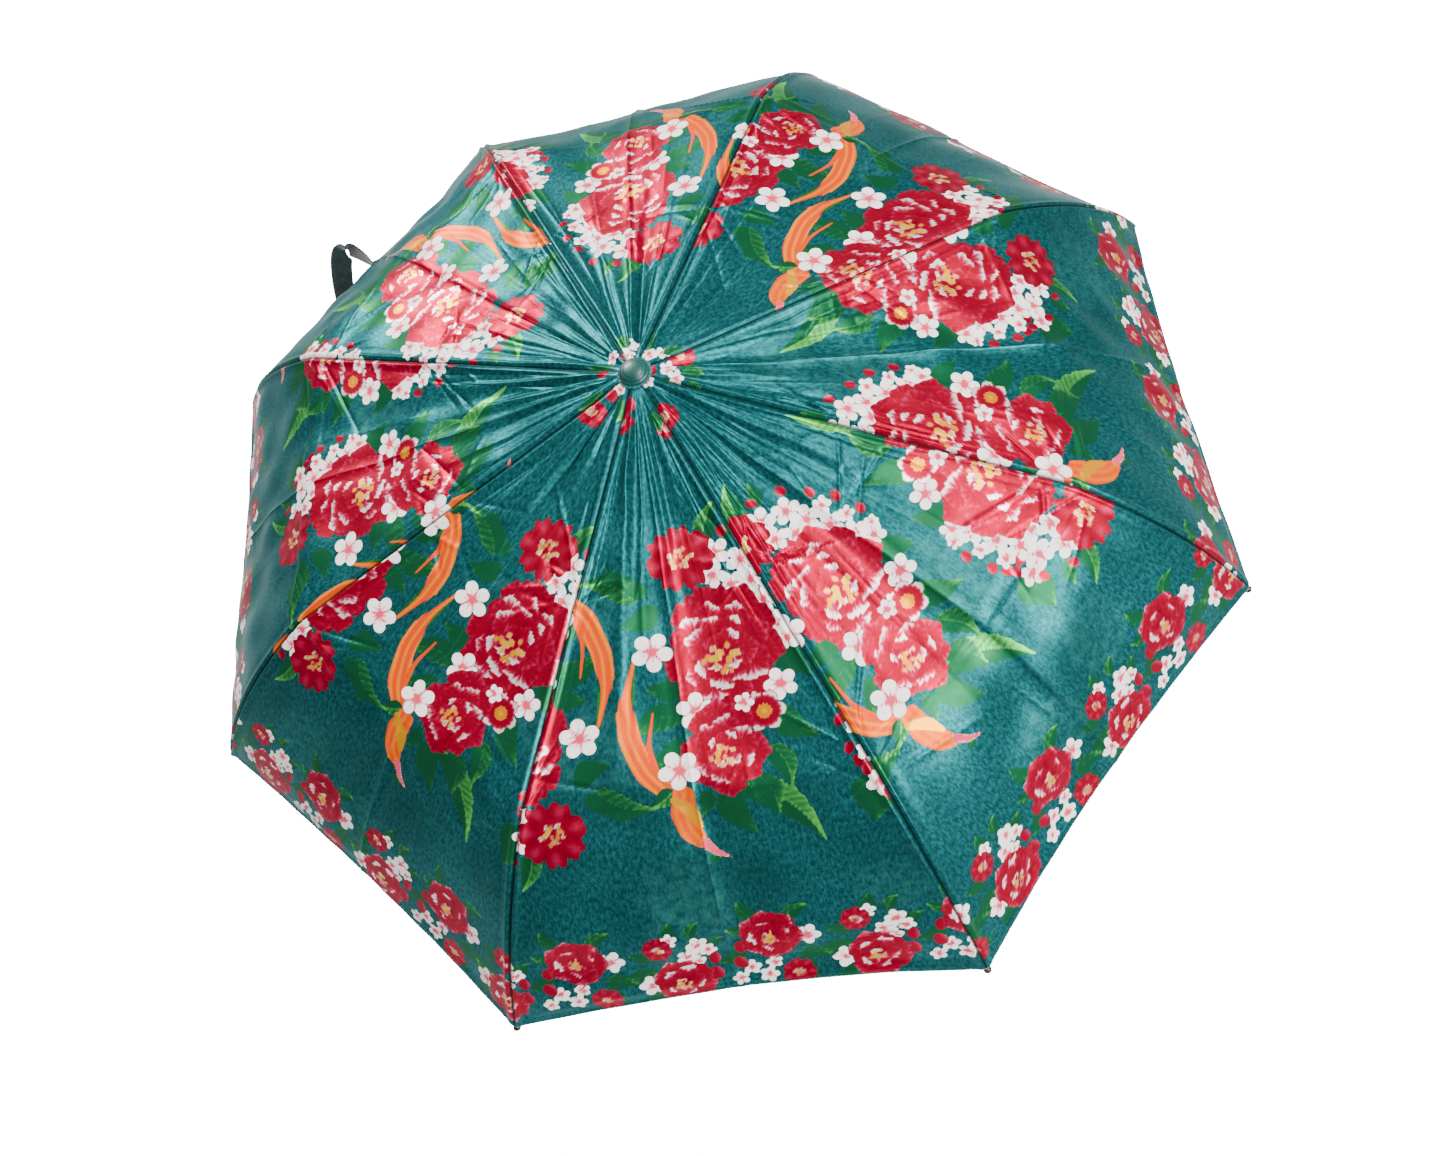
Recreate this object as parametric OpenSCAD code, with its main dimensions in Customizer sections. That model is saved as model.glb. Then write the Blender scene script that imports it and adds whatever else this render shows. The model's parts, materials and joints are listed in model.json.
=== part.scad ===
// Folding umbrella, open: eight three-fold ribs, a telescoping shaft and a fabric canopy.
// Millimetres. +Z runs up the shaft, and the origin is the centre of the handle's flat end.
// Rib 0 lies along +X, and the ribs are numbered clockwise seen from above.

/* [Ribs] */
// Number of ribs
rib_count = 8; // [8:1:8]
// Top rib, from the crown pivot to the first elbow
top_rib_len = 180; // [150:1:216]
// Middle rib, from the first elbow to the second
mid_rib_len = 152; // [126:1:183]
// Outer rib, straight from the second elbow to the tip
outer_rib_len = 204.8; // [170:0.1:246]
// Slope of the open top rib below level, degrees
top_slope = 10.8; // [8:0.1:14]
// Slope of the open middle rib below level, degrees
mid_slope = 11.2; // [8:0.1:14]
// Slope of the open outer rib's chord below level, degrees
outer_slope = 40.8; // [35:0.1:46]
// How far the outer rib's spring wire bends over its length, degrees
outer_turn = 30; // [20:1:36]
// Outside width and depth of the top rib's channel
channel = 3.0; // [2.6:0.1:3.2]
// Sheet thickness of the channel
channel_wall = 0.45; // [0.35:0.05:0.6]
// Thickness of the flat rib members, side to side
member_t = 1.4; // [1.2:0.1:1.6]
// Depth of the flat rib members
member_h = 2.6; // [2.2:0.1:3.0]
// Radius of the outer rib's spring wire
outer_wire_r = 1.1; // [0.9:0.05:1.2]
// Radius of the rivets at the rib joints
rivet_r = 0.7; // [0.5:0.05:0.8]
// Radius of the bead on each rib tip
bead_r = 3.3; // [2.8:0.1:4]

/* [Linkage] */
// Crown pivot to the stretcher pivot, along the top rib
stretcher_at = 66; // [60:1:79]
// Stretcher, from its pivot on the top rib to the runner
stretcher_len = 84; // [78:1:100]
// Stretcher pivot to the control link, along the stretcher
link_at = 9; // [8:0.5:10.5]
// First elbow to the control link, along the middle rib's lever
lever_len = 7.6; // [6.5:0.1:9]
// Angle of that lever from the middle rib, degrees
lever_angle = -163; // [-170:1:-155]

/* [Shaft] */
// Outside diameter of the upper tube
upper_d = 12; // [10.2:0.1:14.4]
// Length of the upper tube
upper_len = 191; // [186:1:229]
// Length of the middle tube
middle_len = 172; // [150:1:206]
// Length of the lower tube
lower_len = 225; // [188:1:240]
// Wall of the three tubes
tube_wall = 0.5; // [0.4:0.05:0.7]
// Gap all round between one tube and the next
tube_gap = 0.5; // [0.4:0.05:0.7]
// How far each tube stays inside the next when drawn out
tube_overlap = 25; // [20:1:30]
// Length of the guide bush on each inner tube
bush_len = 12; // [8:1:16]

/* [Crown and runner] */
// Crown pivot radius from the shaft's axis
crown_pivot_r = 9; // [9:0.1:12]
// Runner pivot radius from the shaft's axis
runner_pivot_r = 9.6; // [9.4:0.1:12]
// Height of the crown's slotted flange
crown_h = 5.2; // [4.8:0.1:6.2]
// Height of the runner's slotted flange
runner_flange_h = 6; // [5:0.1:7.2]
// Length of the runner below its pivots
runner_len = 37; // [32:1:38]
// Radius of the wire ring that the ribs hang on
ring_wire_r = 0.5; // [0.4:0.05:0.6]
// Width and height of the runner's button
button_size = [4.4, 9]; // [4:0.1:10]
// Travel of the runner's button
button_travel = 1.4; // [1:0.1:1.5]
// Diameter of the round cap on top
cap_d = 24.7; // [21:0.1:29]
// Height of that cap
cap_h = 6.8; // [5.6:0.1:8.2]

/* [Handle] */
// Diameter of the grip
grip_d = 28; // [23:0.5:34]
// Length of the handle
handle_len = 62; // [52:1:74]
// Wall of the grip
grip_wall = 2.4; // [2:0.1:3]
// Height of the end cap's flange
end_cap_h = 4; // [3:0.5:5]

/* [Canopy] */
// Thickness of the canopy's fabric
fabric_t = 0.6; // [0.4:0.1:0.8]
// Canopy above the centre lines of the ribs
canopy_lift = 3.3; // [3.1:0.1:4]
// How far the rim is drawn in between two tips
rim_scallop = 15; // [8:1:20]
// How far the panels dip between two ribs
panel_sag = 6; // [0:1:10]
// Panel strips between two ribs
gore_cols = 6; // [4:2:8]
// Width of the closure strap
strap_w = 24; // [20:1:28]
// Thickness of the closure strap, two layers of cloth
strap_t = 1.0; // [0.8:0.1:1.4]

/* [Fits] */
// Radial clearance of a sliding fit
slide_fit = 0.08; // [0.05:0.01:0.1]
// Radial clearance of a rivet in its hole
rivet_fit = 0.1; // [0.06:0.01:0.15]
// Side gap between two members that pass each other
side_gap = 0.3; // [0.25:0.05:0.4]
// Gap between an open pivot's member and its pin
open_gap = 0.5; // [0.4:0.1:0.8]

/* [Hidden] */
$fn = 48;
pitch = 360 / rib_count;

function azimuth(k) = -k * pitch;
function ray(a) = [cos(a), sin(a)];
function tags(base) = [for (k = [0:rib_count - 1]) str(base, "_", k + 1)];

// The shaft, drawn out
tube_z0 = 12;
lower_z1 = tube_z0 + lower_len;
middle_z0 = lower_z1 - tube_overlap;
middle_z1 = middle_z0 + middle_len;
upper_z0 = middle_z1 - tube_overlap;
upper_z1 = upper_z0 + upper_len;
upper_r = upper_d / 2;
middle_r = upper_r - tube_wall - tube_gap;
lower_r = middle_r - tube_wall - tube_gap;

// Pivots of one rib in its own plane: [distance from the axis, height]
crown_z = upper_z1 - 2;
pivot_o = [crown_pivot_r, crown_z];
elbow_1 = pivot_o + top_rib_len * ray(-top_slope);
elbow_2 = elbow_1 + mid_rib_len * ray(-mid_slope);
outer_bend_r = outer_rib_len / (2 * sin(outer_turn / 2));
outer_start = outer_slope - outer_turn / 2;
pivot_p = pivot_o + stretcher_at * ray(-top_slope);
runner_drop = sqrt(pow(stretcher_len, 2) - pow(pivot_p[0] - runner_pivot_r, 2));
runner_z = pivot_p[1] - runner_drop;
stretcher_dir = atan2(-runner_drop, runner_pivot_r - pivot_p[0]);
pivot_w = pivot_p + link_at * ray(stretcher_dir);
pivot_t = elbow_1 + lever_len * ray(lever_angle - mid_slope);
link_vec = pivot_t - pivot_w;
link_len = norm(link_vec);
link_dir = atan2(link_vec[1], link_vec[0]);

// The members of one rib lie side by side: [low, high] across the rib
layer_a = [-channel / 2, channel / 2];
layer_b = [layer_a[1] + side_gap, layer_a[1] + side_gap + member_t];
link_t = 1.0;
layer_c = [layer_b[1] + side_gap, layer_b[1] + side_gap + link_t];
head_t = 0.5;
hole_r = rivet_r + rivet_fit;
eye_r = member_h / 2 + 0.6;

// The crown
eye_plate_t = 1.2;
crown_eye_r = 1.8;
crown_core_r = crown_pivot_r - crown_eye_r - 0.25;
crown_r = crown_pivot_r + 3.2;
crown_top = crown_z + crown_h / 2;
channel_start = norm([crown_r - crown_pivot_r, crown_h / 2]) + 0.9;
hub_z = crown_top + fabric_t / 2 + 0.3;
washer_t = 0.5;
washer_z = hub_z + fabric_t / 2 + 0.1;
post_r = 3.4;
cap_z = washer_z + washer_t;

// The runner
runner_bore_r = upper_r + slide_fit;
sleeve_r = runner_bore_r + 1.5;
collar_r = runner_bore_r + 3.8;
collar_len = 16;
flange_r = runner_pivot_r + 3.4;
button_azimuth = pitch / 2;
button_depth = 2.4;
button_face = collar_r + 1.2;
pocket_r = button_face - button_depth - button_travel - 0.2;

// Points of the canopy's middle surface along a rib, lifted square to the rib
function lift(p, slope) = p + canopy_lift * ray(90 - slope);
function on_top(d) = lift(pivot_o + d * ray(-top_slope), top_slope);
function on_mid(d) = lift(elbow_1 + d * ray(-mid_slope), mid_slope);
function arc_point(turn) = elbow_2 + 2 * outer_bend_r * sin(turn / 2) * ray(-outer_start - turn / 2);
function on_outer(turn) = lift(arc_point(turn), outer_start + turn);
hem_back = 5;
hem_turn = outer_turn - hem_back / outer_bend_r * 180 / PI;
outer_rows = 6;
canopy_rows = concat(
    [[post_r + 0.5, hub_z], [crown_r + 1, hub_z]],
    [for (f = [0.2, 0.45, 0.72]) on_top(f * top_rib_len)],
    [lift(elbow_1, (top_slope + mid_slope) / 2)],
    [for (f = [0.35, 0.7]) on_mid(f * mid_rib_len)],
    [lift(elbow_2, (mid_slope + outer_start) / 2)],
    [for (i = [1:outer_rows]) on_outer(hem_turn * i / outer_rows)]
);

// Turns what lies in the X-Z plane to rib k's azimuth
module at_rib(k) {
    rotate([0, 0, azimuth(k)]) children();
}

// Puts a member's own x axis on a line through p that rises by angle a
module along(p, a) {
    translate([p[0], 0, p[1]]) rotate([0, -a, 0]) children();
}

// A round boss or pin across the rib, over the span [low, high]
module across(r, span) {
    translate([0, span[0], 0]) rotate([-90, 0, 0]) cylinder(r = r, h = span[1] - span[0]);
}

// A straight bar along x in one layer
module bar(x0, x1, span, h) {
    translate([x0, span[0], -h / 2]) cube([x1 - x0, span[1] - span[0], h]);
}

// A ring of round wire about the shaft's axis
module wire_ring(r, wire_r, z) {
    translate([0, 0, z]) rotate_extrude() translate([r, 0]) circle(r = wire_r, $fn = 24);
}

// A tube from z0 to z1
module tube(r, z0, z1) {
    difference() {
        translate([0, 0, z0]) cylinder(r = r, h = z1 - z0);
        translate([0, 0, z0 - 1]) cylinder(r = r - tube_wall, h = z1 - z0 + 2);
    }
}

// Handle: a hollow moulded grip with a straight wall and a rounded shoulder
boss_r = lower_r + 3;
cavity_r = grip_d / 2 - grip_wall;
shoulder_r = 6;
socket_z = handle_len - 16;
pin_z = tube_z0 + 10;
pin_r = 1.2;

module handle_grip() color("#20272a") {
    r = grip_d / 2;
    difference() {
        rotate_extrude() {
            translate([0, end_cap_h]) square([r, handle_len - shoulder_r - end_cap_h]);
            translate([0, handle_len - shoulder_r]) square([r - shoulder_r, shoulder_r]);
            translate([r - shoulder_r, handle_len - shoulder_r]) intersection() {
                circle(r = shoulder_r);
                square(shoulder_r);
            }
        }
        difference() {
            translate([0, 0, end_cap_h - 1]) cylinder(r = cavity_r, h = socket_z - end_cap_h + 1);
            translate([0, 0, tube_z0]) cylinder(r = boss_r, h = socket_z);
        }
        translate([0, 0, tube_z0 - 1]) cylinder(r = lower_r, h = handle_len);
        across_pin();
    }
}

module across_pin() {
    translate([-boss_r, 0, pin_z]) rotate([0, 90, 0]) cylinder(r = pin_r, h = 2 * boss_r);
}

module handle_end_cap() color("#20272a") {
    edge = 0.8;
    skirt = 6;
    cylinder(r1 = grip_d / 2 - edge, r2 = grip_d / 2, h = edge);
    translate([0, 0, edge]) cylinder(r = grip_d / 2, h = end_cap_h - edge);
    difference() {
        translate([0, 0, end_cap_h]) cylinder(r = cavity_r, h = skirt);
        translate([0, 0, end_cap_h]) cylinder(r = cavity_r - 1.6, h = skirt + 1);
    }
}

module handle_pin() color("silver") across_pin();

module handle_collar() color("silver") {
    difference() {
        translate([0, 0, handle_len]) cylinder(r1 = lower_r + 3, r2 = lower_r + 1.4, h = 4);
        translate([0, 0, handle_len - 1]) cylinder(r = lower_r, h = 6);
    }
}

module lower_tube() color("gainsboro") {
    difference() {
        tube(lower_r, tube_z0, lower_z1);
        across_pin();
    }
}

// A plastic guide on the top end of an inner tube, with a lip over the tube's mouth
module bush(inner_r, bore_r, z1) {
    lip = 1.2;
    difference() {
        translate([0, 0, z1 - bush_len]) cylinder(r = bore_r - slide_fit, h = bush_len + lip);
        translate([0, 0, z1 - bush_len - 1]) cylinder(r = inner_r, h = bush_len + 1);
        translate([0, 0, z1 - 1]) cylinder(r = inner_r - tube_wall, h = lip + 2);
    }
}

module lower_bush() color("dimgray") bush(lower_r, middle_r - tube_wall, lower_z1);
module middle_tube() color("gainsboro") tube(middle_r, middle_z0, middle_z1);
module middle_bush() color("dimgray") bush(middle_r, upper_r - tube_wall, middle_z1);
module upper_tube() color("gainsboro") tube(upper_r, upper_z0, upper_z1);

// Crown: a flange with a slot for each top rib, open at the side and below
module crown() color("#2b2f33") {
    slot_w = eye_plate_t + 2 * side_gap;
    slot_h = crown_h / 2 + crown_eye_r + side_gap;
    difference() {
        union() {
            translate([0, 0, crown_z - crown_h / 2]) cylinder(r = crown_r, h = crown_h);
            translate([0, 0, crown_top]) cylinder(r = post_r, h = cap_z + 2 - crown_top);
        }
        translate([0, 0, crown_z - crown_h]) cylinder(r = upper_r, h = crown_h + upper_z1 - crown_z);
        for (k = [0:rib_count - 1]) at_rib(k)
            translate([crown_core_r, -slot_w / 2, crown_z - crown_h / 2 - 0.01])
                cube([crown_r, slot_w, slot_h]);
        wire_ring(crown_pivot_r, ring_wire_r, crown_z);
    }
}

module crown_wire() color("silver") wire_ring(crown_pivot_r, ring_wire_r, crown_z);

// Round cap: a shallow dome over a short straight edge, hollow round the crown's post
module cap() color("#1d5f5a") {
    edge = 2.2;
    rise = cap_h - edge;
    dome_r = (pow(cap_d / 2, 2) + pow(rise, 2)) / (2 * rise);
    difference() {
        intersection() {
            translate([0, 0, cap_z]) cylinder(r = cap_d / 2, h = cap_h);
            translate([0, 0, cap_z + cap_h - dome_r]) sphere(r = dome_r, $fn = 96);
        }
        translate([0, 0, cap_z - 1]) cylinder(r = post_r, h = 3);
    }
}

module hub_washer() color("#2a6a66") {
    translate([0, 0, washer_z]) difference() {
        cylinder(r = crown_r + 0.6, h = washer_t - 0.1);
        translate([0, 0, -1]) cylinder(r = post_r + 0.3, h = 3);
    }
}

// Top rib: a folded steel channel, open below, with an eye at the crown and a rivet at each joint
module top_rib(k) color("silver") at_rib(k) along(pivot_o, -top_slope) {
    inner = channel / 2 - channel_wall;
    end_r = channel / 2 + 0.5;
    difference() {
        union() {
            across(crown_eye_r, [-eye_plate_t / 2, eye_plate_t / 2]);
            bar(0, channel_start + 2, [-eye_plate_t / 2, eye_plate_t / 2], 2.2);
            bar(channel_start, top_rib_len, layer_a, channel);
            translate([top_rib_len, 0, 0]) across(end_r, layer_a);
        }
        across(ring_wire_r + 0.2, [-channel, channel]);
        translate([channel_start + 2, -inner, -channel]) cube([stretcher_at - channel_start - 5, 2 * inner,
            channel * 1.5 - channel_wall]);
        translate([stretcher_at + 3, -inner, -channel]) cube([top_rib_len - stretcher_at - 8, 2 * inner,
            channel * 1.5 - channel_wall]);
    }
    translate([stretcher_at, 0, 0]) {
        across(rivet_r, [layer_a[0] - head_t, layer_b[1] + 0.1]);
        across(2 * rivet_r, [layer_a[0] - head_t, layer_a[0]]);
    }
    translate([top_rib_len, 0, 0]) {
        across(rivet_r, [layer_a[0] - head_t, layer_b[1] + 0.1]);
        across(2 * rivet_r, [layer_a[0] - head_t, layer_a[0]]);
    }
}

// Stretcher: from its rivet on the top rib down to the runner, stopping short of the runner's wire
module stretcher(k) color("silver") at_rib(k) along(pivot_p, stretcher_dir) {
    end = stretcher_len - ring_wire_r - open_gap - member_h / 2;
    difference() {
        union() {
            across(eye_r, layer_b);
            bar(0, end, layer_b, member_h);
            translate([end, 0, 0]) across(member_h / 2, layer_b);
        }
        across(hole_r, [layer_b[0] - 1, layer_b[1] + 1]);
    }
    translate([link_at, 0, 0]) {
        across(rivet_r, [layer_b[1] - 0.2, layer_c[1] + 0.1 + head_t]);
        across(1.8 * rivet_r, [layer_c[1] + 0.1, layer_c[1] + 0.1 + head_t]);
    }
}

// Control link: swings the middle rib as the stretcher turns
module control_link(k) color("silver") at_rib(k) along(pivot_w, link_dir) {
    link_h = 1.6;
    difference() {
        union() {
            across(link_h, layer_c);
            bar(0, link_len, layer_c, link_h);
            translate([link_len, 0, 0]) across(link_h * 0.9, layer_c);
        }
        across(hole_r, [layer_c[0] - 1, layer_c[1] + 1]);
        translate([link_len, 0, 0]) across(rivet_r, [layer_c[0] - 1, layer_c[1] + 1]);
    }
}

// Middle rib: a flat bar with a short lever behind its elbow and a tension wire below it
module middle_rib(k) color("silver") at_rib(k) along(elbow_1, -mid_slope) {
    wire_r = 0.5;
    wire_z = -4;
    wire_y = (layer_b[0] + layer_b[1]) / 2;
    ends = [9, mid_rib_len - 7];
    difference() {
        union() {
            across(eye_r, layer_b);
            bar(0, mid_rib_len, layer_b, member_h);
            translate([mid_rib_len, 0, 0]) across(eye_r, layer_b);
            rotate([0, -lever_angle, 0]) {
                bar(0, lever_len, layer_b, 2);
                translate([lever_len, 0, 0]) across(1.4, layer_b);
            }
        }
        across(hole_r, [layer_b[0] - 1, layer_b[1] + 1]);
    }
    translate([ends[0], wire_y, wire_z]) rotate([0, 90, 0]) cylinder(r = wire_r, h = ends[1] - ends[0]);
    for (x = ends) translate([x, wire_y, wire_z]) {
        cylinder(r = wire_r, h = -wire_z);
        sphere(r = wire_r, $fn = 24);
    }
    translate([mid_rib_len, 0, 0]) {
        across(rivet_r, [layer_a[0] - head_t, layer_b[0] + 0.2]);
        across(2 * rivet_r, [layer_a[0] - head_t, layer_a[0] - 0.1]);
    }
}

// Outer rib: bent spring wire from the second elbow to a bead that holds the canopy's corner
module outer_rib(k) color("silver") at_rib(k) along(elbow_2, -outer_start) {
    span = [-outer_wire_r, outer_wire_r];
    heel_len = 8;
    heel_angle = -140;
    sleeve_len = 6;
    difference() {
        union() {
            across(eye_r, span);
            rotate([90, 0, 0]) translate([0, -outer_bend_r, 0]) rotate([0, 0, 90 - outer_turn])
                rotate_extrude(angle = outer_turn) translate([outer_bend_r, 0]) circle(r = outer_wire_r, $fn = 24);
            rotate([0, -heel_angle, 0]) {
                bar(0, heel_len, span, 1.8);
                translate([heel_len, 0, 0]) across(1.4, span);
            }
        }
        across(hole_r, [-channel, channel]);
    }
    translate([outer_bend_r * sin(outer_turn), 0, -outer_bend_r * (1 - cos(outer_turn))])
        rotate([0, outer_turn, 0]) color("#4d4136") {
            sphere(r = bead_r, $fn = 48);
            translate([-sleeve_len, 0, 0]) rotate([0, 90, 0]) cylinder(r = outer_wire_r + 0.6, h = sleeve_len);
        }
}

// Canopy: one closed sheet round the shaft. Across a panel the cloth runs straight from rib to rib,
// dips a little, and at the rim is drawn in between the tips.
ring_cols = gore_cols * rib_count;
last_row = len(canopy_rows) - 1;

function bow(j) = let (x = 2 * (j % gore_cols) / gore_cols - 1) 1 - x * x;
function dip(i) = i < 2 ? 0 : panel_sag * sin(180 * (i - 1) / (last_row - 1));
function drawn_in(i) = i < last_row - 2 ? 0 : rim_scallop * (i - last_row + 3) / 3;
function toward_hub(i) = let (v = canopy_rows[max(i - 1, 0)] - canopy_rows[i]) v / max(norm(v), 0.001);
function row_point(i, b) = canopy_rows[i] + drawn_in(i) * b * toward_hub(i);
function panel_point(i, j, up) = let (
    k = floor(j / gore_cols),
    f = (j % gore_cols) / gore_cols,
    b = bow(j),
    p = row_point(i, b),
    xy = p[0] * ((1 - f) * ray(azimuth(k)) + f * ray(azimuth(k + 1)))
) [xy[0], xy[1], p[1] - dip(i) * b + up];
function cell(side, i, j) = (side * (last_row + 1) + i) * ring_cols + (j % ring_cols);

module canopy() color("#2c6b69") {
    points = [for (up = [fabric_t / 2, -fabric_t / 2], i = [0:last_row], j = [0:ring_cols - 1])
        panel_point(i, j, up)];
    skins = [for (i = [0:last_row - 1], j = [0:ring_cols - 1]) each [
        [cell(0, i, j), cell(0, i, j + 1), cell(0, i + 1, j)],
        [cell(0, i, j + 1), cell(0, i + 1, j + 1), cell(0, i + 1, j)],
        [cell(1, i, j), cell(1, i + 1, j), cell(1, i, j + 1)],
        [cell(1, i, j + 1), cell(1, i + 1, j), cell(1, i + 1, j + 1)]]];
    edges = [for (j = [0:ring_cols - 1]) each [
        [cell(0, 0, j), cell(1, 0, j), cell(0, 0, j + 1)],
        [cell(0, 0, j + 1), cell(1, 0, j), cell(1, 0, j + 1)],
        [cell(0, last_row, j), cell(0, last_row, j + 1), cell(1, last_row, j)],
        [cell(0, last_row, j + 1), cell(1, last_row, j + 1), cell(1, last_row, j)]]];
    polyhedron(points, concat(skins, edges), convexity = 6);
}

// Closure strap: sewn to the rim halfway between two tips, it stands out in a fold
strap_azimuth = azimuth(4.5);
rim_mid = let (p = row_point(last_row, 1)) [p[0] * cos(pitch / 2), p[1]];
strap_line = [rim_mid + [2.5, -6], rim_mid + [22, 4], rim_mid + [46, 20], rim_mid + [52, 20],
              rim_mid + [55, -8], rim_mid + [56, -34]];

module closure_strap() color("#1c2f30") {
    n = len(strap_line);
    rotate([0, 0, strap_azimuth]) rotate([90, 0, 0]) translate([0, 0, -strap_w / 2])
        linear_extrude(height = strap_w) {
            for (i = [0:n - 2]) strap_piece(strap_line[i], strap_line[i + 1]);
            for (p = strap_line) translate(p) circle(r = strap_t / 2, $fn = 24);
        }
}

module strap_piece(p, q) {
    v = q - p;
    translate(p) rotate(atan2(v[1], v[0])) translate([0, -strap_t / 2]) square([norm(v), strap_t]);
}

// Runner: a sleeve on the upper tube with a slotted flange and a button in its collar
module runner() color("#2b2f33") {
    slot_y = [layer_b[0] - side_gap, layer_b[1] + side_gap];
    slot_x = runner_pivot_r - member_h / 2 - side_gap;
    difference() {
        union() {
            translate([0, 0, runner_z - runner_len]) cylinder(r = sleeve_r, h = runner_len);
            translate([0, 0, runner_z - runner_len]) cylinder(r = collar_r, h = collar_len);
            translate([0, 0, runner_z - runner_flange_h / 2]) cylinder(r = flange_r, h = runner_flange_h);
        }
        translate([0, 0, runner_z - runner_len - 1]) cylinder(r = runner_bore_r, h = runner_len + 20);
        for (k = [0:rib_count - 1]) at_rib(k)
            translate([slot_x, slot_y[0], runner_z - runner_flange_h]) cube([flange_r, slot_y[1] - slot_y[0],
                2 * runner_flange_h]);
        wire_ring(runner_pivot_r, ring_wire_r, runner_z);
        rotate([0, 0, button_azimuth])
            translate([pocket_r, -button_size[0] / 2 - side_gap, button_z() - side_gap])
                cube([collar_r, button_size[0] + 2 * side_gap, button_size[1] + 2 * side_gap]);
    }
}

function button_z() = runner_z - runner_len + (collar_len - button_size[1]) / 2;

module runner_wire() color("silver") wire_ring(runner_pivot_r, ring_wire_r, runner_z);

module runner_button() color("#1d5f5a") rotate([0, 0, button_azimuth])
    translate([button_face - button_depth, -button_size[0] / 2, button_z()])
        cube([button_depth, button_size[0], button_size[1]]);

handle_grip();
handle_end_cap();
handle_pin();
handle_collar();
lower_tube();
lower_bush();
middle_tube();
middle_bush();
upper_tube();
crown();
crown_wire();
cap();
hub_washer();
canopy();
closure_strap();
runner();
runner_wire();
runner_button();
for (k = [0:rib_count - 1]) top_rib(k);
for (k = [0:rib_count - 1]) stretcher(k);
for (k = [0:rib_count - 1]) control_link(k);
for (k = [0:rib_count - 1]) middle_rib(k);
for (k = [0:rib_count - 1]) outer_rib(k);
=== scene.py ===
# %% [markdown]
# # A folding umbrella, open, seen from above
# The frame (shaft, ribs, runner, handle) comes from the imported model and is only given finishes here.
# The cloth, its print, its seams and hems, the strap and the cap are made here as surfaces on grids.
# Blender works in metres. Cloth is easier to think about in millimetres, so cloth code works in
# millimetres and multiplies by MM when it makes a mesh.

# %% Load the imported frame
import json

import bpy
import numpy as np
from mathutils import Matrix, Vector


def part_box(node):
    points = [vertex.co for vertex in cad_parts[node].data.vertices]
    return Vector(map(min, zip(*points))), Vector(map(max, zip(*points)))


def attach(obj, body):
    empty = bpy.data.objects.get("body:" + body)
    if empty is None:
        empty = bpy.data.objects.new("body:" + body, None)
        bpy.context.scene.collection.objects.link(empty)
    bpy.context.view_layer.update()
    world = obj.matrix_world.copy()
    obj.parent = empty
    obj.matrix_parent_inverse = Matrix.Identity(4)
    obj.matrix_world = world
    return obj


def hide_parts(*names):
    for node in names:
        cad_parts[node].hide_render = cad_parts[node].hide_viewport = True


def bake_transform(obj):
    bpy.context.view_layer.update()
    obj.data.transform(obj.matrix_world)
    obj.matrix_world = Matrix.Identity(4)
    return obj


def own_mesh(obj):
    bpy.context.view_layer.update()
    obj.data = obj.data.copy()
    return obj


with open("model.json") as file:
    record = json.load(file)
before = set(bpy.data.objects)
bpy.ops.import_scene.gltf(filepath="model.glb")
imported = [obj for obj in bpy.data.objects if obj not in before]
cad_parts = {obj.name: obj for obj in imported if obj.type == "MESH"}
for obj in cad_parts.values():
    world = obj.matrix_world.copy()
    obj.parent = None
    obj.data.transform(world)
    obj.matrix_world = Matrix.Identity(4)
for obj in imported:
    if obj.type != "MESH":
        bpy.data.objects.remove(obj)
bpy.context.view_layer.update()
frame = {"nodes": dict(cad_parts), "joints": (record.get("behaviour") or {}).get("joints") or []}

MM = 0.001

# %% [markdown]
# ## Camera
# The view looks down on the open canopy from in front and to the right. A camera is placed by one
# matrix: its columns are the directions to the right, up and back, and where the lens is.

# %% Camera
camera_data = bpy.data.cameras.new("camera")
camera_data.lens = 27.24
camera = bpy.data.objects.new("camera", camera_data)
bpy.context.scene.collection.objects.link(camera)
camera.matrix_world = Matrix((
    (0.944392, -0.194135, 0.265396, 0.31918),
    (0.273251, 0.912311, -0.304997, -0.38370),
    (-0.182913, 0.360557, 0.914627, 1.25495),
    (0, 0, 0, 1),
))
bpy.context.scene.camera = camera
print("camera at", tuple(camera.matrix_world.translation))

# %% [markdown]
# ## Meshes from arrays
# Every new piece is a grid of points worked out with numpy. Writing the arrays straight into the mesh
# is much faster than adding faces one by one, and the same helper serves all pieces.

# %% Arrays to a mesh
RIPPLES = 24             # waves round the edge of a rippled disc
RIPPLE_FROM = 11.0       # the radius in millimetres beyond which they start


def mesh_piece(name, points, quads, body=None):
    """A mesh object from points in metres and faces of four point numbers each."""
    points, quads = np.asarray(points, np.float32), np.asarray(quads, np.int32)
    mesh = bpy.data.meshes.new(name)
    mesh.vertices.add(len(points))
    mesh.vertices.foreach_set("co", points.ravel())
    mesh.loops.add(quads.size)
    mesh.loops.foreach_set("vertex_index", quads.ravel())
    mesh.polygons.add(len(quads))
    mesh.polygons.foreach_set("loop_start", np.arange(0, quads.size, 4, dtype=np.int32))
    mesh.update(calc_edges=True)
    mesh.polygons.foreach_set("use_smooth", np.ones(len(quads), bool))
    piece = bpy.data.objects.new(name, mesh)
    bpy.context.scene.collection.objects.link(piece)
    if body:
        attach(piece, body)
    return piece


def grid_quads(rows, cols, wrap=False):
    """Faces of a grid numbered row by row. With wrap, the last column meets the first."""
    i, j = np.meshgrid(np.arange(rows - 1), np.arange(cols if wrap else cols - 1), indexing="ij")
    a = (i * cols + j).ravel()
    b = (i * cols + (j + 1) % cols).ravel()
    return np.stack([a, b, b + cols, a + cols], 1)


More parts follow.
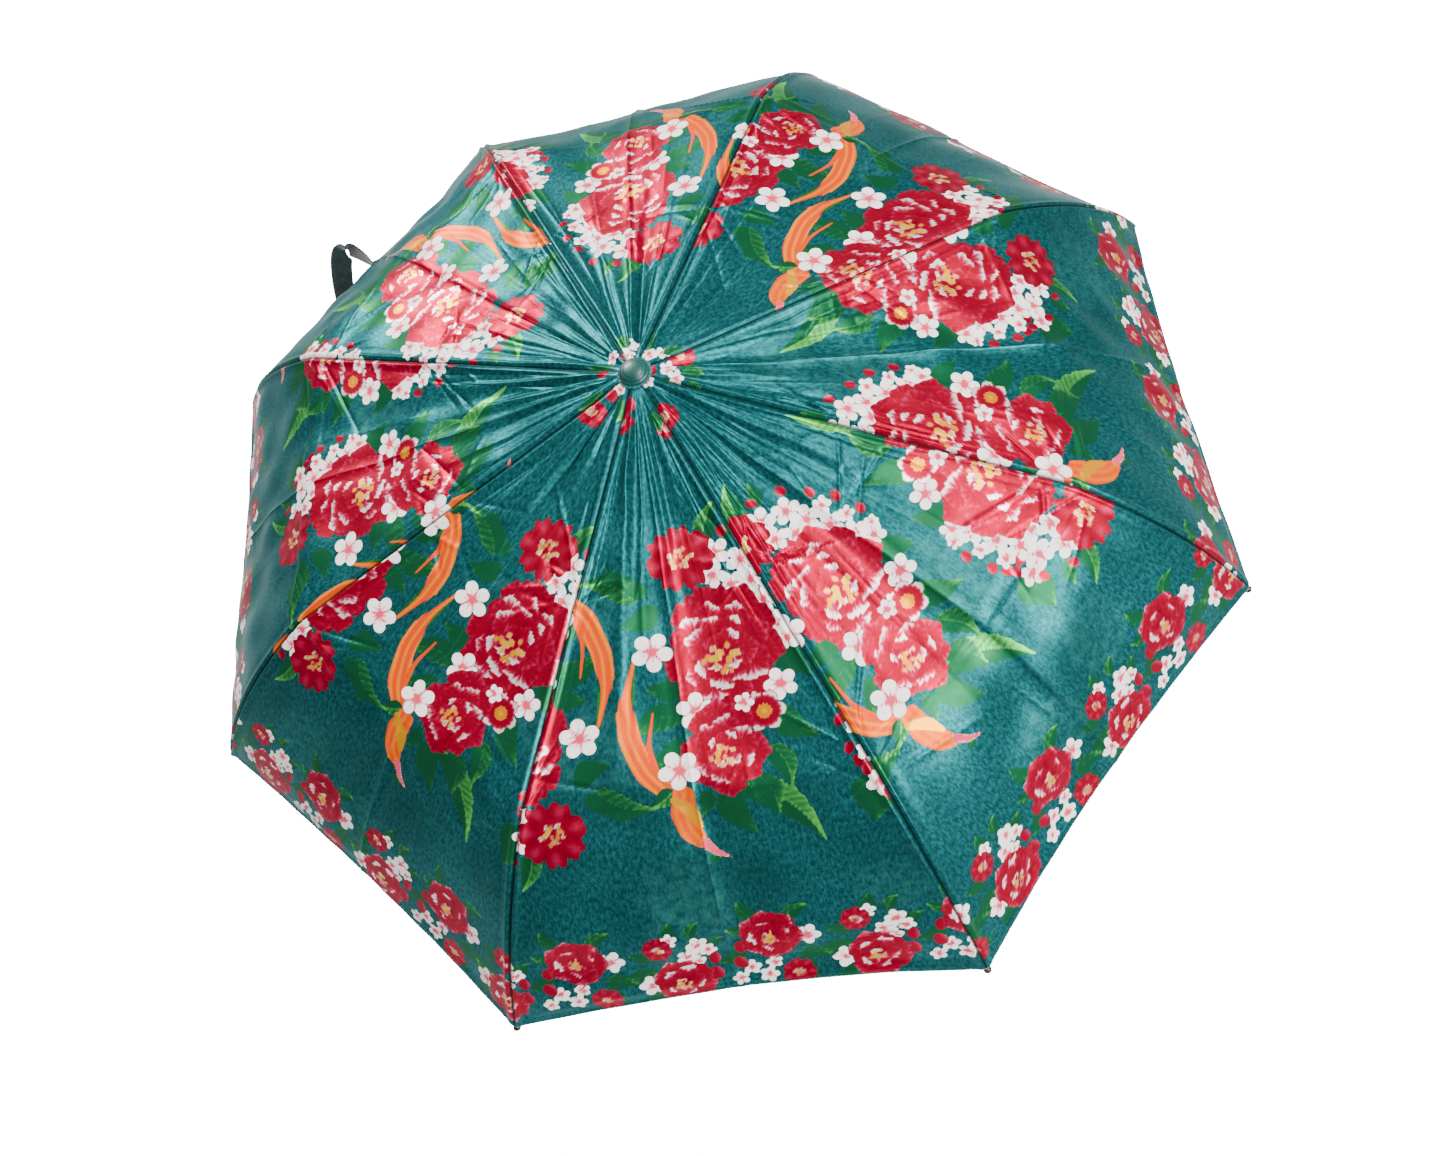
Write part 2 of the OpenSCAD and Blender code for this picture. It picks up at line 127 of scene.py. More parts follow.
def unit(vectors):
    """The same directions with length 1."""
    return vectors / np.maximum(np.linalg.norm(vectors, axis=-1, keepdims=True), 1e-9)


def lathe(name, profile, body, steps, ripple=0.0):
    """A surface turned about the shaft: profile is (radius, height) in millimetres, from outside
    bottom to top. A ripple is a share of the radius by which the edge waves in and out."""
    profile = np.array(profile, float)
    turn = np.linspace(0, 2 * np.pi, steps, endpoint=False)
    radius = profile[:, :1] * (1 + ripple * np.cos(RIPPLES * turn) * (profile[:, :1] > RIPPLE_FROM))
    z = np.repeat(profile[:, 1:], steps, axis=1)
    points = np.stack([radius * np.cos(turn), radius * np.sin(turn), z], -1).reshape(-1, 3) * MM
    return mesh_piece(name, points, grid_quads(len(profile), steps, wrap=True), body)


def tube(name, path, radius, body, sides):
    """A round tube along a nearly level path in millimetres, closed to a point at both ends."""
    along = unit(np.gradient(path, axis=0))
    side = unit(np.cross(along, [0, 0, 1.0]))
    over = np.cross(side, along)
    turn = np.linspace(0, 2 * np.pi, sides, endpoint=False)[None, :, None]
    points = path[:, None] + radius * (np.cos(turn) * side[:, None] + np.sin(turn) * over[:, None])
    first, last = path[None, :1].repeat(sides, 1), path[None, -1:].repeat(sides, 1)
    points = np.concatenate([first, points, last])
    return mesh_piece(name, points.reshape(-1, 3) * MM, grid_quads(len(points), sides, wrap=True), body)


# %% [markdown]
# ## Shader sums
# Shader graphs are long to write node by node. The small class below wraps a socket, so that a finish
# reads like a sum: `grain * 0.2 + 0.4` adds two Math nodes. Colours are mixed by their own method,
# because a Math node would turn a colour grey.

# %% Shader sums
class Value:
    """One output of a shader node, with the usual signs for sums."""

    def __init__(self, finish, socket):
        self.finish, self.socket = finish, socket

    def sum(self, operation, *values):
        """A Math node for one sum."""
        return self.finish.node("ShaderNodeMath", {"operation": operation}, *values)

    def __add__(self, other):
        return self.sum("ADD", self, other)

    def __sub__(self, other):
        return self.sum("SUBTRACT", self, other)

    def __rsub__(self, other):
        return self.sum("SUBTRACT", other, self)

    def __mul__(self, other):
        return self.sum("MULTIPLY", self, other)

    def ramp(self, low, high):
        """0 below low, 1 above high and a smooth rise between."""
        settings = {"interpolation_type": "SMOOTHSTEP"}
        return self.finish.node("ShaderNodeMapRange", settings, self, low, high)


class Finish:
    """A material under construction, ending in one Principled shader."""

    def __init__(self, name, **constants):
        self.material = bpy.data.materials.new(name)
        self.material.use_nodes = True
        self.nodes, self.links = self.material.node_tree.nodes, self.material.node_tree.links
        self.shader = self.nodes["Principled BSDF"]
        for socket, value in constants.items():
            self.shader.inputs[socket.replace("_", " ")].default_value = value

    def node(self, kind, settings=None, *values, **named):
        """Any node: its settings are set first, then its inputs in order or by name."""
        made = self.nodes.new(kind)
        for key, value in (settings or {}).items():
            setattr(made, key, value)
        for key, value in (*enumerate(values), *named.items()):
            self.feed(made.inputs[key], value)
        return Value(self, made.outputs[0])

    def feed(self, socket, value):
        """Link a value to an input, or set the input to a plain number, colour or vector."""
        if isinstance(value, Value):
            self.links.new(value.socket, socket)
        else:
            socket.default_value = value

    def mix(self, share, first, second):
        """The first colour where share is 0, the second where it is 1."""
        made = self.nodes.new("ShaderNodeMix")
        made.data_type = "RGBA"
        for key, value in ((0, share), (6, first), (7, second)):
            self.feed(made.inputs[key], value)
        return Value(self, made.outputs[2])

    def mottle(self, cloudy, dark, light, high=0.7):
        """Colour the whole surface with two shades in clouds."""
        self.drive("Base Color", self.mix(cloudy.ramp(0.3, high), dark, light))

    def place(self, stretch=(1, 1, 1), coords="Object"):
        """Coordinates on the piece itself, stretched."""
        source = self.nodes.new("ShaderNodeTexCoord")
        return self.node("ShaderNodeMapping", None, Value(self, source.outputs[coords]), Scale=stretch)

    def noise(self, scale, detail, place=None, rough=0.55):
        """Cloudy noise between 0 and 1."""
        return self.node("ShaderNodeTexNoise", None, Vector=place or self.place(), Scale=scale,
                         Detail=detail, Roughness=rough)

    def parts(self, vector):
        """The x, y and z of a vector as three values."""
        split = self.nodes.new("ShaderNodeSeparateXYZ")
        self.links.new(vector.socket, split.inputs[0])
        return [Value(self, output) for output in split.outputs]

    def attribute(self, name, part=None):
        """A value stored on the mesh points: one number, or one part of a vector."""
        read = self.nodes.new("ShaderNodeAttribute")
        read.attribute_name = name
        if part is None:
            return Value(self, read.outputs["Fac"])
        return self.parts(Value(self, read.outputs["Vector"]))[part]

    def drive(self, socket, value):
        """Feed one of the shader's sockets."""
        self.links.new(value.socket, self.shader.inputs[socket])

    def bump(self, height, strength, distance):
        """Small relief from a height, distance metres deep."""
        self.drive("Normal", self.node("ShaderNodeBump", None, Strength=strength, Distance=distance,
                                       Height=height))


def rgb(r, g, b):
    """A colour given as it looks on a screen, 0 to 255, turned into the light values shaders use."""
    c = np.array([r, g, b]) / 255
    light = np.where(c <= 0.04045, c / 12.92, ((c + 0.055) / 1.055) ** 2.4)
    return (*light.tolist(), 1.0)


# %% [markdown]
# ## The shape of the cloth
# An umbrella's cloth is cut as panels and sewn along the ribs. Each panel is pulled straight from rib
# to rib, so across a panel it is nearly a straight line that dips a little, and along a rib it follows
# the rib's own line. So the cloth is a function of two numbers: how far out along the rib line, and
# how far across the panel. The rib line is read from the hinges of the first rib.

# %% Rib line
def hinge_at(name):
    """(distance from the shaft, height) of a hinge, in millimetres."""
    x, y, z = next(j for j in frame["joints"] if j["name"] == name)["pos_m"]
    return np.array([np.hypot(x, y), z]) / MM


RIBS = 8
PITCH = 2 * np.pi / RIBS
crown_pivot, elbow_1, elbow_2 = (hinge_at(f"{part}_rib_1_hinge") for part in ("top", "middle", "outer"))
BEAD_R = 3.3
tip_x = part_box("outer_rib_1")[1].x / MM - BEAD_R
OUTER_TURN = np.radians(30)       # how far the outer rib bends from end to end
chord_slope = np.radians(40.8)    # how steeply it falls on the whole
outer_start = chord_slope - OUTER_TURN / 2
bend_r = (tip_x - elbow_2[0]) / np.cos(chord_slope) / (2 * np.sin(OUTER_TURN / 2))
CLOTH_LIFT = 3.3         # how far the cloth lies above a rib's middle line
HUB_R = 3.9              # the hole round the shaft
HUB_FLAT = 13.2          # the cloth lies flat under the washer this far out
hub_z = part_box("hub_washer")[0].z / MM - 0.4


def slope_of(p, q):
    """How steeply the line from p to q falls, in radians."""
    return np.arctan2(p[1] - q[1], q[0] - p[0])


def lifted(p, slope):
    """Points raised square to a line that falls at slope."""
    return p + CLOTH_LIFT * np.stack([np.sin(slope), np.cos(slope)], -1)


def straight(p, q, start, end):
    """Points of the cloth over a straight rib member, between two shares of its length."""
    share = np.linspace(start, end, 20)[:, None]
    return lifted(p + share * (q - p), slope_of(p, q))


bend = np.linspace(0.03, 1, 40) * OUTER_TURN
outer_line = elbow_2 + 2 * bend_r * np.sin(bend / 2)[:, None] * np.stack(
    [np.cos(outer_start + bend / 2), -np.sin(outer_start + bend / 2)], -1)
rib_line = np.concatenate([
    [[0.0, hub_z], [HUB_FLAT, hub_z]],
    straight(crown_pivot, elbow_1, 0.16, 0.99),
    straight(elbow_1, elbow_2, 0.03, 0.98),
    lifted(outer_line, outer_start + bend),
])
rib_s = np.concatenate([[0], np.cumsum(np.linalg.norm(np.diff(rib_line, axis=0), axis=1))])
even_s = np.arange(0, rib_s[-1], 1.0)
even_line = np.stack([np.interp(even_s, rib_s, rib_line[:, i]) for i in (0, 1)], -1)
smooth = np.hanning(15) / np.hanning(15).sum()
before_line, after_line = 2 * even_line[:1] - even_line[7:0:-1], 2 * even_line[-1:] - even_line[-2:-9:-1]
padded = np.concatenate([before_line, even_line, after_line])
even_line = np.stack([np.convolve(padded[:, i], smooth, "valid") for i in (0, 1)], -1)
ELBOW_1_S = float(np.interp(elbow_1[0], even_line[:, 0], even_s))
ELBOW_2_S = float(np.interp(elbow_2[0] + 1, even_line[:, 0], even_s))
TIP_S = float(even_s[-1])
RIM_S = TIP_S - 4.5      # the rim at a rib
RIM_SCALLOP = 15.5       # how much shorter a panel is in its middle
PANEL_DIP = 6.0          # how far a panel sinks in its middle
HEM = 8.0                # how far in the hem is sewn
print("rib line", round(TIP_S, 1), "mm; elbows at", round(ELBOW_1_S, 1), round(ELBOW_2_S, 1))

# %% [markdown]
# ## Creases and drag lines
# Real cloth is never smooth: the seam sinks between two rolled edges, each panel keeps a sharp crease
# down its middle from being folded, fine folds run out from the hub, and the cloth crumples beside
# the elbows. A simulation would lose these thin lines, so they are drawn as small heights on the sheet.
# Every line has a seeded place, and the heights die out at the seams so that panels still meet.

# %% Creases
def ridge(distance, width):
    """A soft bank: 1 on the line, falling away to nothing a few widths to each side."""
    return np.exp(-(distance / width) ** 2)


def fold(distance, width):
    """A sharp crease: a corner on the line and a quick fall to each side."""
    return np.exp(-np.abs(distance) / width)


def grow(s, start, length):
    """0 up to start, 1 from a length beyond it, and straight between."""
    return np.clip((s - start) / length, 0, 1)


def line_relief(x, y, start, end, width, sharp):
    """Height along a segment from start to end, tapered to nothing at both ends."""
    ax, ay = start
    dx, dy = end[0] - ax, end[1] - ay
    length = np.hypot(dx, dy)
    t = ((x - ax) * dx + (y - ay) * dy) / length ** 2
    away = ((x - ax) * dy - (y - ay) * dx) / length
    taper = np.clip(1 - (2 * t - 1) ** 2, 0, 1)
    return (fold if sharp else ridge)(away, width) * taper


def panel_half(s):
    """Half the width of a panel, rib to middle, at each distance along the rib line."""
    return np.interp(s, even_s, even_line[:, 0]) * np.sin(PITCH / 2)


BROAD_FOLDS, FINE_FOLDS, SEAM_FOLDS = 7, 16, 4      # seam folds beside each seam
ELBOW_CREASES, LONG_CREASES, WAVES = 7, 6, 9        # elbow creases on each side of an elbow


def relief(panel, v, s):
    """Height of the creases of one panel, in millimetres. v runs from -1 to 1 across it."""
    draw = np.random.default_rng(100 + panel)
    half = panel_half(s)
    x = v * half
    edge = half - np.abs(x)
    # The sunk seam with a rolled edge on each side, and the sharp crease down the middle
    rise = -1.7 * ridge(edge, 1.5) + 1.25 * ridge(edge - 4.4, 1.8) - 0.45 * ridge(edge - 11, 4)
    rise *= np.clip((s - 8) / 30, 0.15, 1)
    body = 1 - ridge(edge, 6)
    rise += (1.4 * fold(x, 1.7) - 0.3 * ridge(np.abs(x) - 8, 4)) * grow(s, 0, 80)
    tilt = draw.uniform(1.2, 3.0) * draw.choice([-1, 1])
    rise += tilt * np.sin(np.pi * v) * grow(s, 15, 120)
    # Folds that run out from the hub
    for _ in range(BROAD_FOLDS):
        place, lean, width = draw.uniform(-0.75, 0.75), draw.uniform(-0.2, 0.2), draw.uniform(3.5, 9)
        along = grow(s, 12, draw.uniform(170, 380))
        height = draw.uniform(0.9, 2.4) * draw.choice([1, -1]) * np.sin(np.pi * along ** 0.5)
        rise += body * height * ridge(x - (place + lean * along) * half, width * (0.35 + along))
    for side in (-1, 1):
        rise += 0.35 * fold(x - side * (0.26 * half + 8), 1.2) * grow(s, 60, 60)
    for _ in range(FINE_FOLDS):
        place, lean = draw.uniform(-0.85, 0.85), draw.uniform(-0.12, 0.12)
        start, end = draw.uniform(18, 60), draw.uniform(110, 300)
        along = grow(s, start, end - start)
        width = draw.uniform(1.5, 3.0) * (0.6 + 0.8 * along)
        height = draw.uniform(0.5, 1.25) * draw.choice([1, 1, -1]) * np.sin(np.pi * along ** 0.55)
        wander = 1.6 * np.sin(s / draw.uniform(9, 22) + draw.uniform(0, 6.3)) * along
        profile = fold if draw.random() < 0.4 else ridge
        rise += body * height * profile(x - (place + lean * along) * half - wander, width)
    for side in (-1, 1):
        for _ in range(SEAM_FOLDS):
            away, start, end = draw.uniform(5, 20), draw.uniform(30, 120), draw.uniform(200, 330)
            line = half - side * x - away - 2 * np.sin(s / 37 + away)
            height = draw.uniform(0.5, 1.0) * draw.choice([1, -1])
            height = height * np.sin(np.pi * grow(s, start, end - start) ** 0.8)
            rise += height * fold(line, draw.uniform(1.0, 1.8))
    # Crumples beside the elbows and long creases anywhere
    for elbow, spread, stretch in ((ELBOW_1_S, 60, 1), (ELBOW_2_S, 45, 1.4)):
        for side in (-1, 1):
            for _ in range(ELBOW_CREASES):
                out = draw.uniform(18, 70) * stretch
                y0 = elbow + draw.uniform(-26, 22)
                y1 = y0 + draw.uniform(-spread, spread)
                seam = panel_half(y0)
                outer, inner = (side * (seam - 3), y0), (side * (seam - out), y1)
                height = draw.uniform(0.7, 1.8) * draw.choice([1, -1])
                width, sharp = draw.uniform(1.2, 2.4), draw.random() < 0.6
                rise += body * height * line_relief(x, s, outer, inner, width, sharp)
    for _ in range(LONG_CREASES):
        y0, turn = draw.uniform(120, 480), draw.uniform(-0.9, 0.9)
        length = draw.uniform(50, 120)
        x0 = draw.uniform(-0.6, 0.6) * panel_half(y0)
        far = x0 + length * np.sin(turn), y0 + length * np.cos(turn)
        rise += body * draw.uniform(0.35, 0.7) * line_relief(x, s, (x0, y0), far, 1.2, True)
    # The steps across at the elbows, and slow waves
    across = ELBOW_2_S + 4 + 7 * (1 - np.abs(v))
    rise += 0.4 * fold(s - across, 1.5) - 0.5 * ridge(s - across - 5, 4) * (1 - v ** 2)
    rise += 0.25 * fold(s - ELBOW_1_S - 9 * (1 - np.abs(v)), 1.4)
    calm = (1 - v ** 4) * grow(s, 0, 150)
    for _ in range(WAVES):
        fx, fy = draw.normal(0, 0.055, 2)
        rise += calm * 0.5 * np.sin(fx * x + fy * s + draw.uniform(0, 6.3))
    return rise


def sheet_point(panel, v, s):
    """Points of the cloth in millimetres. s runs to RIM_S at a seam, and the rim is drawn in between."""
    scallop = RIM_SCALLOP * (1 - v * v)
    s = s - scallop * grow(s, 400, RIM_S - 400) ** 2
    rho, z = (np.interp(s, even_s, even_line[:, i]) for i in (0, 1))
    fall = np.gradient(even_line[:, 1]) / np.gradient(even_line[:, 0])
    slope = -np.arctan(np.interp(s, even_s, fall))
    from_rim = (RIM_S - scallop) - s
    rise = relief(panel, v, s) * np.clip(from_rim / 12, 0.35, 1)
    rise += 0.22 * (1 - grow(from_rim, HEM - 1, 2)) - 0.3 * ridge(from_rim - HEM + 1.5, 0.9)
    rise -= PANEL_DIP * np.sin(np.pi * s / TIP_S) * (1 - v * v)
    rho = rho + rise * np.sin(slope)
    z = z + rise * np.cos(slope)
    share = (v + 1) / 2
    first, second = -panel * PITCH, -(panel + 1) * PITCH
    x = rho * ((1 - share) * np.cos(first) + share * np.cos(second))
    y = rho * ((1 - share) * np.sin(first) + share * np.sin(second))
    return np.stack([x, y, z], -1), s


# %% [markdown]
# ## The print
# The cloth is printed with big peonies, small blossoms, leaves and birds, all of one motif that
# repeats, so every panel shows a different cut of it. The print is painted on the mesh points as
# depths: for each ink, how far a point is inside that ink's outline, in millimetres. A shape that is
# laid on top lowers all the other inks. The finish turns a depth of zero into an edge, so the edge
# stays crisp and round between the points, which a plain colour per point would not. A second number,
# the tint, shades within an ink: white edges on petals, light edges on leaves. A third, the tone,
# lightens the ground inside faint flowers and darkens the seams with painted shade.

# %% Painting depths
INKS = ("leaf", "red", "blossom", "orange", "gold", "green")
FAR = 30.0


class Cloth:
    """The inks, tints and tones at a set of points, given by their flat places in a panel."""

    def __init__(self, x, y):
        self.inks = np.full((len(INKS), x.size), -FAR)
        self.tint = np.zeros(x.size)
        self.tone = np.zeros(x.size)
        self.all = Patch(self, np.arange(x.size), x.ravel(), y.ravel())


class Patch:
    """The points near one printed figure, measured from its middle."""

    def __init__(self, cloth, where, x, y):
        self.cloth, self.where, self.x, self.y = cloth, where, x, y

    def near(self, cx, cy, reach, turn=0.0):
        """The points within reach of a place, measured from there and turned by turn degrees."""
        dx, dy = self.x - cx, self.y - cy
        keep = dx * dx + dy * dy < reach ** 2
        dx, dy = dx[keep], dy[keep]
        c, s = np.cos(np.radians(turn)), np.sin(np.radians(turn))
        return Patch(self.cloth, self.where[keep], c * dx + s * dy, c * dy - s * dx)

    def lay(self, depth, ink, tint):
        """Lay a shape on top: depth is how far inside its outline each point is."""
        if not self.where.size:
            return
        inks, row = self.cloth.inks, INKS.index(ink)
        own = np.maximum(inks[row, self.where], depth)
        inks[:, self.where] = np.minimum(inks[:, self.where], -depth)
        inks[row, self.where] = own
        inside = depth > -0.7
        self.cloth.tint[self.where[inside]] = np.broadcast_to(tint, depth.shape)[inside]

    def polar(self):
        """Each point's distance and direction from the figure's middle."""
        return np.hypot(self.x, self.y), np.arctan2(self.y, self.x)


def flower_outline(theta, petals, cut, sharp=0.7):
    """How far the outline of a round flower reaches at each angle, as a share of its radius."""
    return 1 - cut * (1 - np.abs(np.cos(petals * theta / 2)) ** sharp)


def blossom(patch, x, y, r, turn):
    """A small white blossom: five petals with a notch, pink at the heart."""
    p = patch.near(x, y, 1.3 * r, turn)
    rho, theta = p.polar()
    depth = r * flower_outline(theta, 5, 0.52, 0.6) - rho
    between = 1 - np.abs(np.cos(5 * theta / 2))
    pink = 1.1 * np.exp(-(rho / (0.26 * r)) ** 2) + 1.1 * between ** 3 * np.clip(1.3 - rho / r, 0, 1)
    pink += 0.55 * np.abs(np.cos(5 * theta / 2)) ** 30 * np.exp(-((rho / r - 0.4) / 0.2) ** 2)
    pink += 0.5 * np.clip(np.cos(theta - 1.2), 0, 1) ** 4 * np.clip(rho / r - 0.35, 0, 1)
    p.lay(depth, "blossom", np.clip(pink, 0, 1))


def bud(patch, x, y, r, turn=0.0):
    """A round red bud, paler on one side."""
    p = patch.near(x, y, 2.2 * r, turn)
    depth = (1 - np.hypot(p.x / r, p.y / (1.35 * r))) * r
    p.lay(depth, "red", 0.55 * np.clip(-p.x / r - 0.1, 0, 1))


def stamens(patch, x, y, r, seed):
    """A loose cluster of golden stamens."""
    draw = np.random.default_rng(seed)
    for i in range(17):
        turn, out = 2.4 * i + draw.uniform(-0.4, 0.4), r * np.sqrt(draw.uniform(0.02, 1.5))
        p = patch.near(x + out * np.cos(turn), y + 0.9 * out * np.sin(turn), 0.8 * r)
        depth = 0.17 * r * draw.uniform(0.8, 1.3) - np.hypot(p.x, 0.8 * p.y)
        p.lay(depth, "gold", draw.uniform(0.3, 1.0))


def red_flower(patch, x, y, r, turn, seed):
    """An open red flower of seven notched petals round golden stamens."""
    p = patch.near(x, y, 1.3 * r, turn)
    rho, theta = p.polar()
    notch = 0.13 * np.exp(-(np.sin(3.5 * theta) / 0.30) ** 2)
    outline = flower_outline(theta, 7, 0.30, 0.6) - notch + 0.03 * np.cos(16 * theta)
    between = 1 - np.abs(np.cos(3.5 * theta))
    dark = -0.6 * between ** 2 * np.clip(rho / r - 0.15, 0, 1)
    light = 0.32 * np.abs(np.cos(3.5 * theta)) ** 3 * np.exp(-((rho / r - 0.7) / 0.22) ** 2)
    p.lay(r * outline - rho, "red", light + dark)
    stamens(patch, x, y, 0.26 * r, seed)


def star_flower(patch, x, y, r):
    """A pink blossom with a big golden heart and fine spokes."""
    p = patch.near(x, y, 1.3 * r)
    rho, theta = p.polar()
    depth = r * flower_outline(theta, 6, 0.34) - rho
    p.lay(depth, "red", np.clip(5 * (rho / r - 0.66) + 0.15 * np.cos(18 * theta), 0, 1))
    p.lay(r * 0.40 * flower_outline(theta, 12, 0.35) - rho, "gold", np.clip(0.9 - rho / (0.3 * r), 0, 1))


# Rings of petals: how far out, how many, how big and how white, all but the count as shares
BIG_RINGS = ((0.82, 9, 0.34, 0.0), (0.58, 8, 0.30, 0.7), (0.38, 7, 0.26, 1.0), (0.18, 4, 0.20, 1.0))
SMALL_RINGS = ((0.78, 8, 0.38, 0.15), (0.48, 6, 0.34, 0.9), (0.20, 4, 0.27, 1.0))
BORDER_RINGS = ((0.70, 7, 0.40, 0.35), (0.36, 5, 0.36, 1.0))


def peony(patch, x, y, a, b, seed, rings=BIG_RINGS):
    """A peony: a ruffled red blob, then rings of overlapping petals, some with a frayed white edge."""
    draw = np.random.default_rng(seed)
    p = patch.near(x, y, 1.35 * max(a, b))
    theta = np.arctan2(p.y / b, p.x / a)
    rho = np.hypot(p.x / a, p.y / b)
    size = (a + b) / 2
    ruffle = 0.04 * np.sin(3 * theta + seed) + 0.035 * np.sin(17 * theta)
    ruffle += 0.02 * np.sin(29 * theta + 1) + flower_outline(theta + 0.3, 9, 0.10, 0.8)
    p.lay((ruffle - rho) * size, "red", 0.16 * np.cos(34 * theta) * (rho > 0.75) - 0.05)
    for out, count, reach, whiteness in rings:
        first = draw.uniform(0, 6.28)
        for i in range(count):
            angle = first + 6.283 * i / count + draw.uniform(-0.22, 0.22)
            cx, cy = out * a * np.cos(angle), out * b * np.sin(angle)
            r = reach * size * draw.uniform(0.8, 1.2)
            q = p.near(cx, cy, 1.3 * r, np.degrees(angle) + draw.uniform(-22, 22))
            rr, tt = q.polar()
            fray = 0.07 * np.cos(5 * tt + i) + 0.04 * np.cos(9 * tt + 2 * i)
            depth = r * (0.92 + fray) * np.where(q.x > 0, 1, 0.9) - rr
            spread = np.clip(3 * np.cos(tt - draw.uniform(-0.7, 0.7)) - draw.uniform(1.5, 2.2), 0, 1)
            band = r * (0.15 + 0.60 * spread) * (0.85 + 0.15 * np.cos(13 * tt))
            white = np.clip(1.15 - depth / band, 0, 1) * np.clip(1.6 * spread, 0, 1)
            white *= whiteness * draw.choice([1.0, 0.95, 0.6, 0.1])
            shade = -0.55 * np.clip(-q.x / r, 0, 1) + 0.12 * np.cos(13 * tt)
            shade += 0.30 * np.exp(-np.abs(depth) / (0.14 * r)) * np.clip(q.x / r + 0.3, 0, 1)
            q.lay(depth, "red", white + shade)
    stamens(patch, x + 0.06 * a, y + 0.14 * b, 0.25 * size, seed)


def leaf(patch, x0, y0, x1, y1, width, bend, light):
    """A pointed leaf from stalk to tip, dark with one light side and a pale tip."""
    length = np.hypot(x1 - x0, y1 - y0)
    turn = np.degrees(np.arctan2(y1 - y0, x1 - x0))
    p = patch.near((x0 + x1) / 2, (y0 + y1) / 2, 0.75 * length + width, turn)
    t = np.clip(p.x / length + 0.5, 0, 1)
    side = p.y - bend * np.sin(np.pi * t)
    half = width * np.sin(np.pi * t ** 0.7) * (1.15 - 0.25 * t) * (1 + 0.07 * np.cos(44 * t))
    beyond = np.maximum(np.abs(p.x) - length / 2, 0)
    depth = half - np.hypot(side, beyond)
    bright = 1 / (1 + np.exp(-side / 0.9))
    ribs = 0.5 + 0.5 * np.cos((p.x - 0.8 * np.abs(side)) * 0.95)
    glow = bright * (0.45 + 0.25 * ribs + 0.75 * np.clip(2.2 * t - 1.35, 0, 1))
    glow += 0.5 * ridge(side, 0.9) + 0.25 * np.exp(-depth / 1.2)
    p.lay(depth, "leaf", np.clip(light * glow, 0, 1))


def stroke(patch, points, widths, ink, tint, streaks=0.0):
    """A brush stroke of changing width through a few points, with streaks along it if asked."""
    points, widths = np.array(points, float), np.array(widths, float)
    t = np.arange(len(points))
    fine = np.linspace(0, len(points) - 1, 6 * len(points))
    bend_x, bend_y = (np.interp(fine, t, points[:, i]) for i in (0, 1))
    kernel = np.hanning(9) / np.hanning(9).sum()
    bend_x, bend_y = (np.convolve(np.pad(b, 4, "edge"), kernel, "valid") for b in (bend_x, bend_y))
    thick = np.interp(fine, t, widths)
    middle = (bend_x.min() + bend_x.max()) / 2, (bend_y.min() + bend_y.max()) / 2
    reach = 0.5 * np.hypot(np.ptp(bend_x), np.ptp(bend_y)) + thick.max() + 6
    p = patch.near(*middle, reach)
    best, lateral, run = np.full(p.x.shape, -FAR), np.zeros(p.x.shape), np.zeros(p.x.shape)
    for i in range(len(fine) - 1):
        ax, ay = bend_x[i] - middle[0], bend_y[i] - middle[1]
        dx, dy = bend_x[i + 1] - bend_x[i], bend_y[i + 1] - bend_y[i]
        long = max(np.hypot(dx, dy), 1e-6)
        u = np.clip(((p.x - ax) * dx + (p.y - ay) * dy) / long ** 2, 0, 1)
        gap = np.hypot(p.x - ax - u * dx, p.y - ay - u * dy)
        depth = thick[i] + u * (thick[i + 1] - thick[i]) - gap
        nearer = depth > best
        best = np.where(nearer, depth, best)
        lateral = np.where(nearer, ((p.x - ax) * dy - (p.y - ay) * dx) / long, lateral)
        run = np.where(nearer, (i + u) / len(fine), run)
    wave = np.cos(0.95 * lateral + 0.6) * streaks
    shade = np.clip(tint + 0.35 * wave + 0.2 * streaks * (run - 0.4), 0, 1)
    p.lay(best + 1.6 * wave * (1 - run), ink, shade)


# %% [markdown]
# ## The motif
# One big motif, about 300 mm apart across the cloth, holds a big peony, a small one, a red flower, a
# fall of white blossoms, leaves and a long-tailed bird. Between two of them the same motif stands
# upside down. A border of smaller bunches runs along the rim.

# %% Motif
def leaves(m, *rows):
    """Several leaves, each given as leaf takes it."""
    for row in rows:
        leaf(m, *row)


def bird(m):
    """A long-tailed bird: brushed tail feathers, an orange body and a thin pink neck."""
    stroke(m, [(64, -4), (71, 20), (76, 48), (72, 76)], [0.4, 2, 3, 1], "green", 0.4)
    stroke(m, [(66, -3), (76, 26), (78, 58), (68, 88), (52, 108)], [0.6, 4, 7.5, 9, 6], "orange", 0.25, 1.0)
    stroke(m, [(58, 40), (64, 66), (60, 88)], [0.3, 1.6, 2], "orange", 0.1, 0.5)
    stroke(m, [(84, 36), (84, 60), (76, 84)], [0.3, 1.2, 1.6], "orange", 0.5, 0.4)
    leaf(m, 50, 104, 68, 116, 7, 1, 0.8)
    leaf(m, 34, 166, 22, 158, 4, 0, 0.2)
    stroke(m, [(44, 108), (46, 124), (44, 140), (34, 154)], [8, 10.5, 8.5, 3], "orange", 0.35, 0.4)
    stroke(m, [(52, 112), (40, 124), (36, 138)], [3, 5, 2], "gold", 0.5)
    stroke(m, [(35, 150), (28, 160), (17, 166)], [3.6, 2.6, 0.5], "blossom", 0.75)


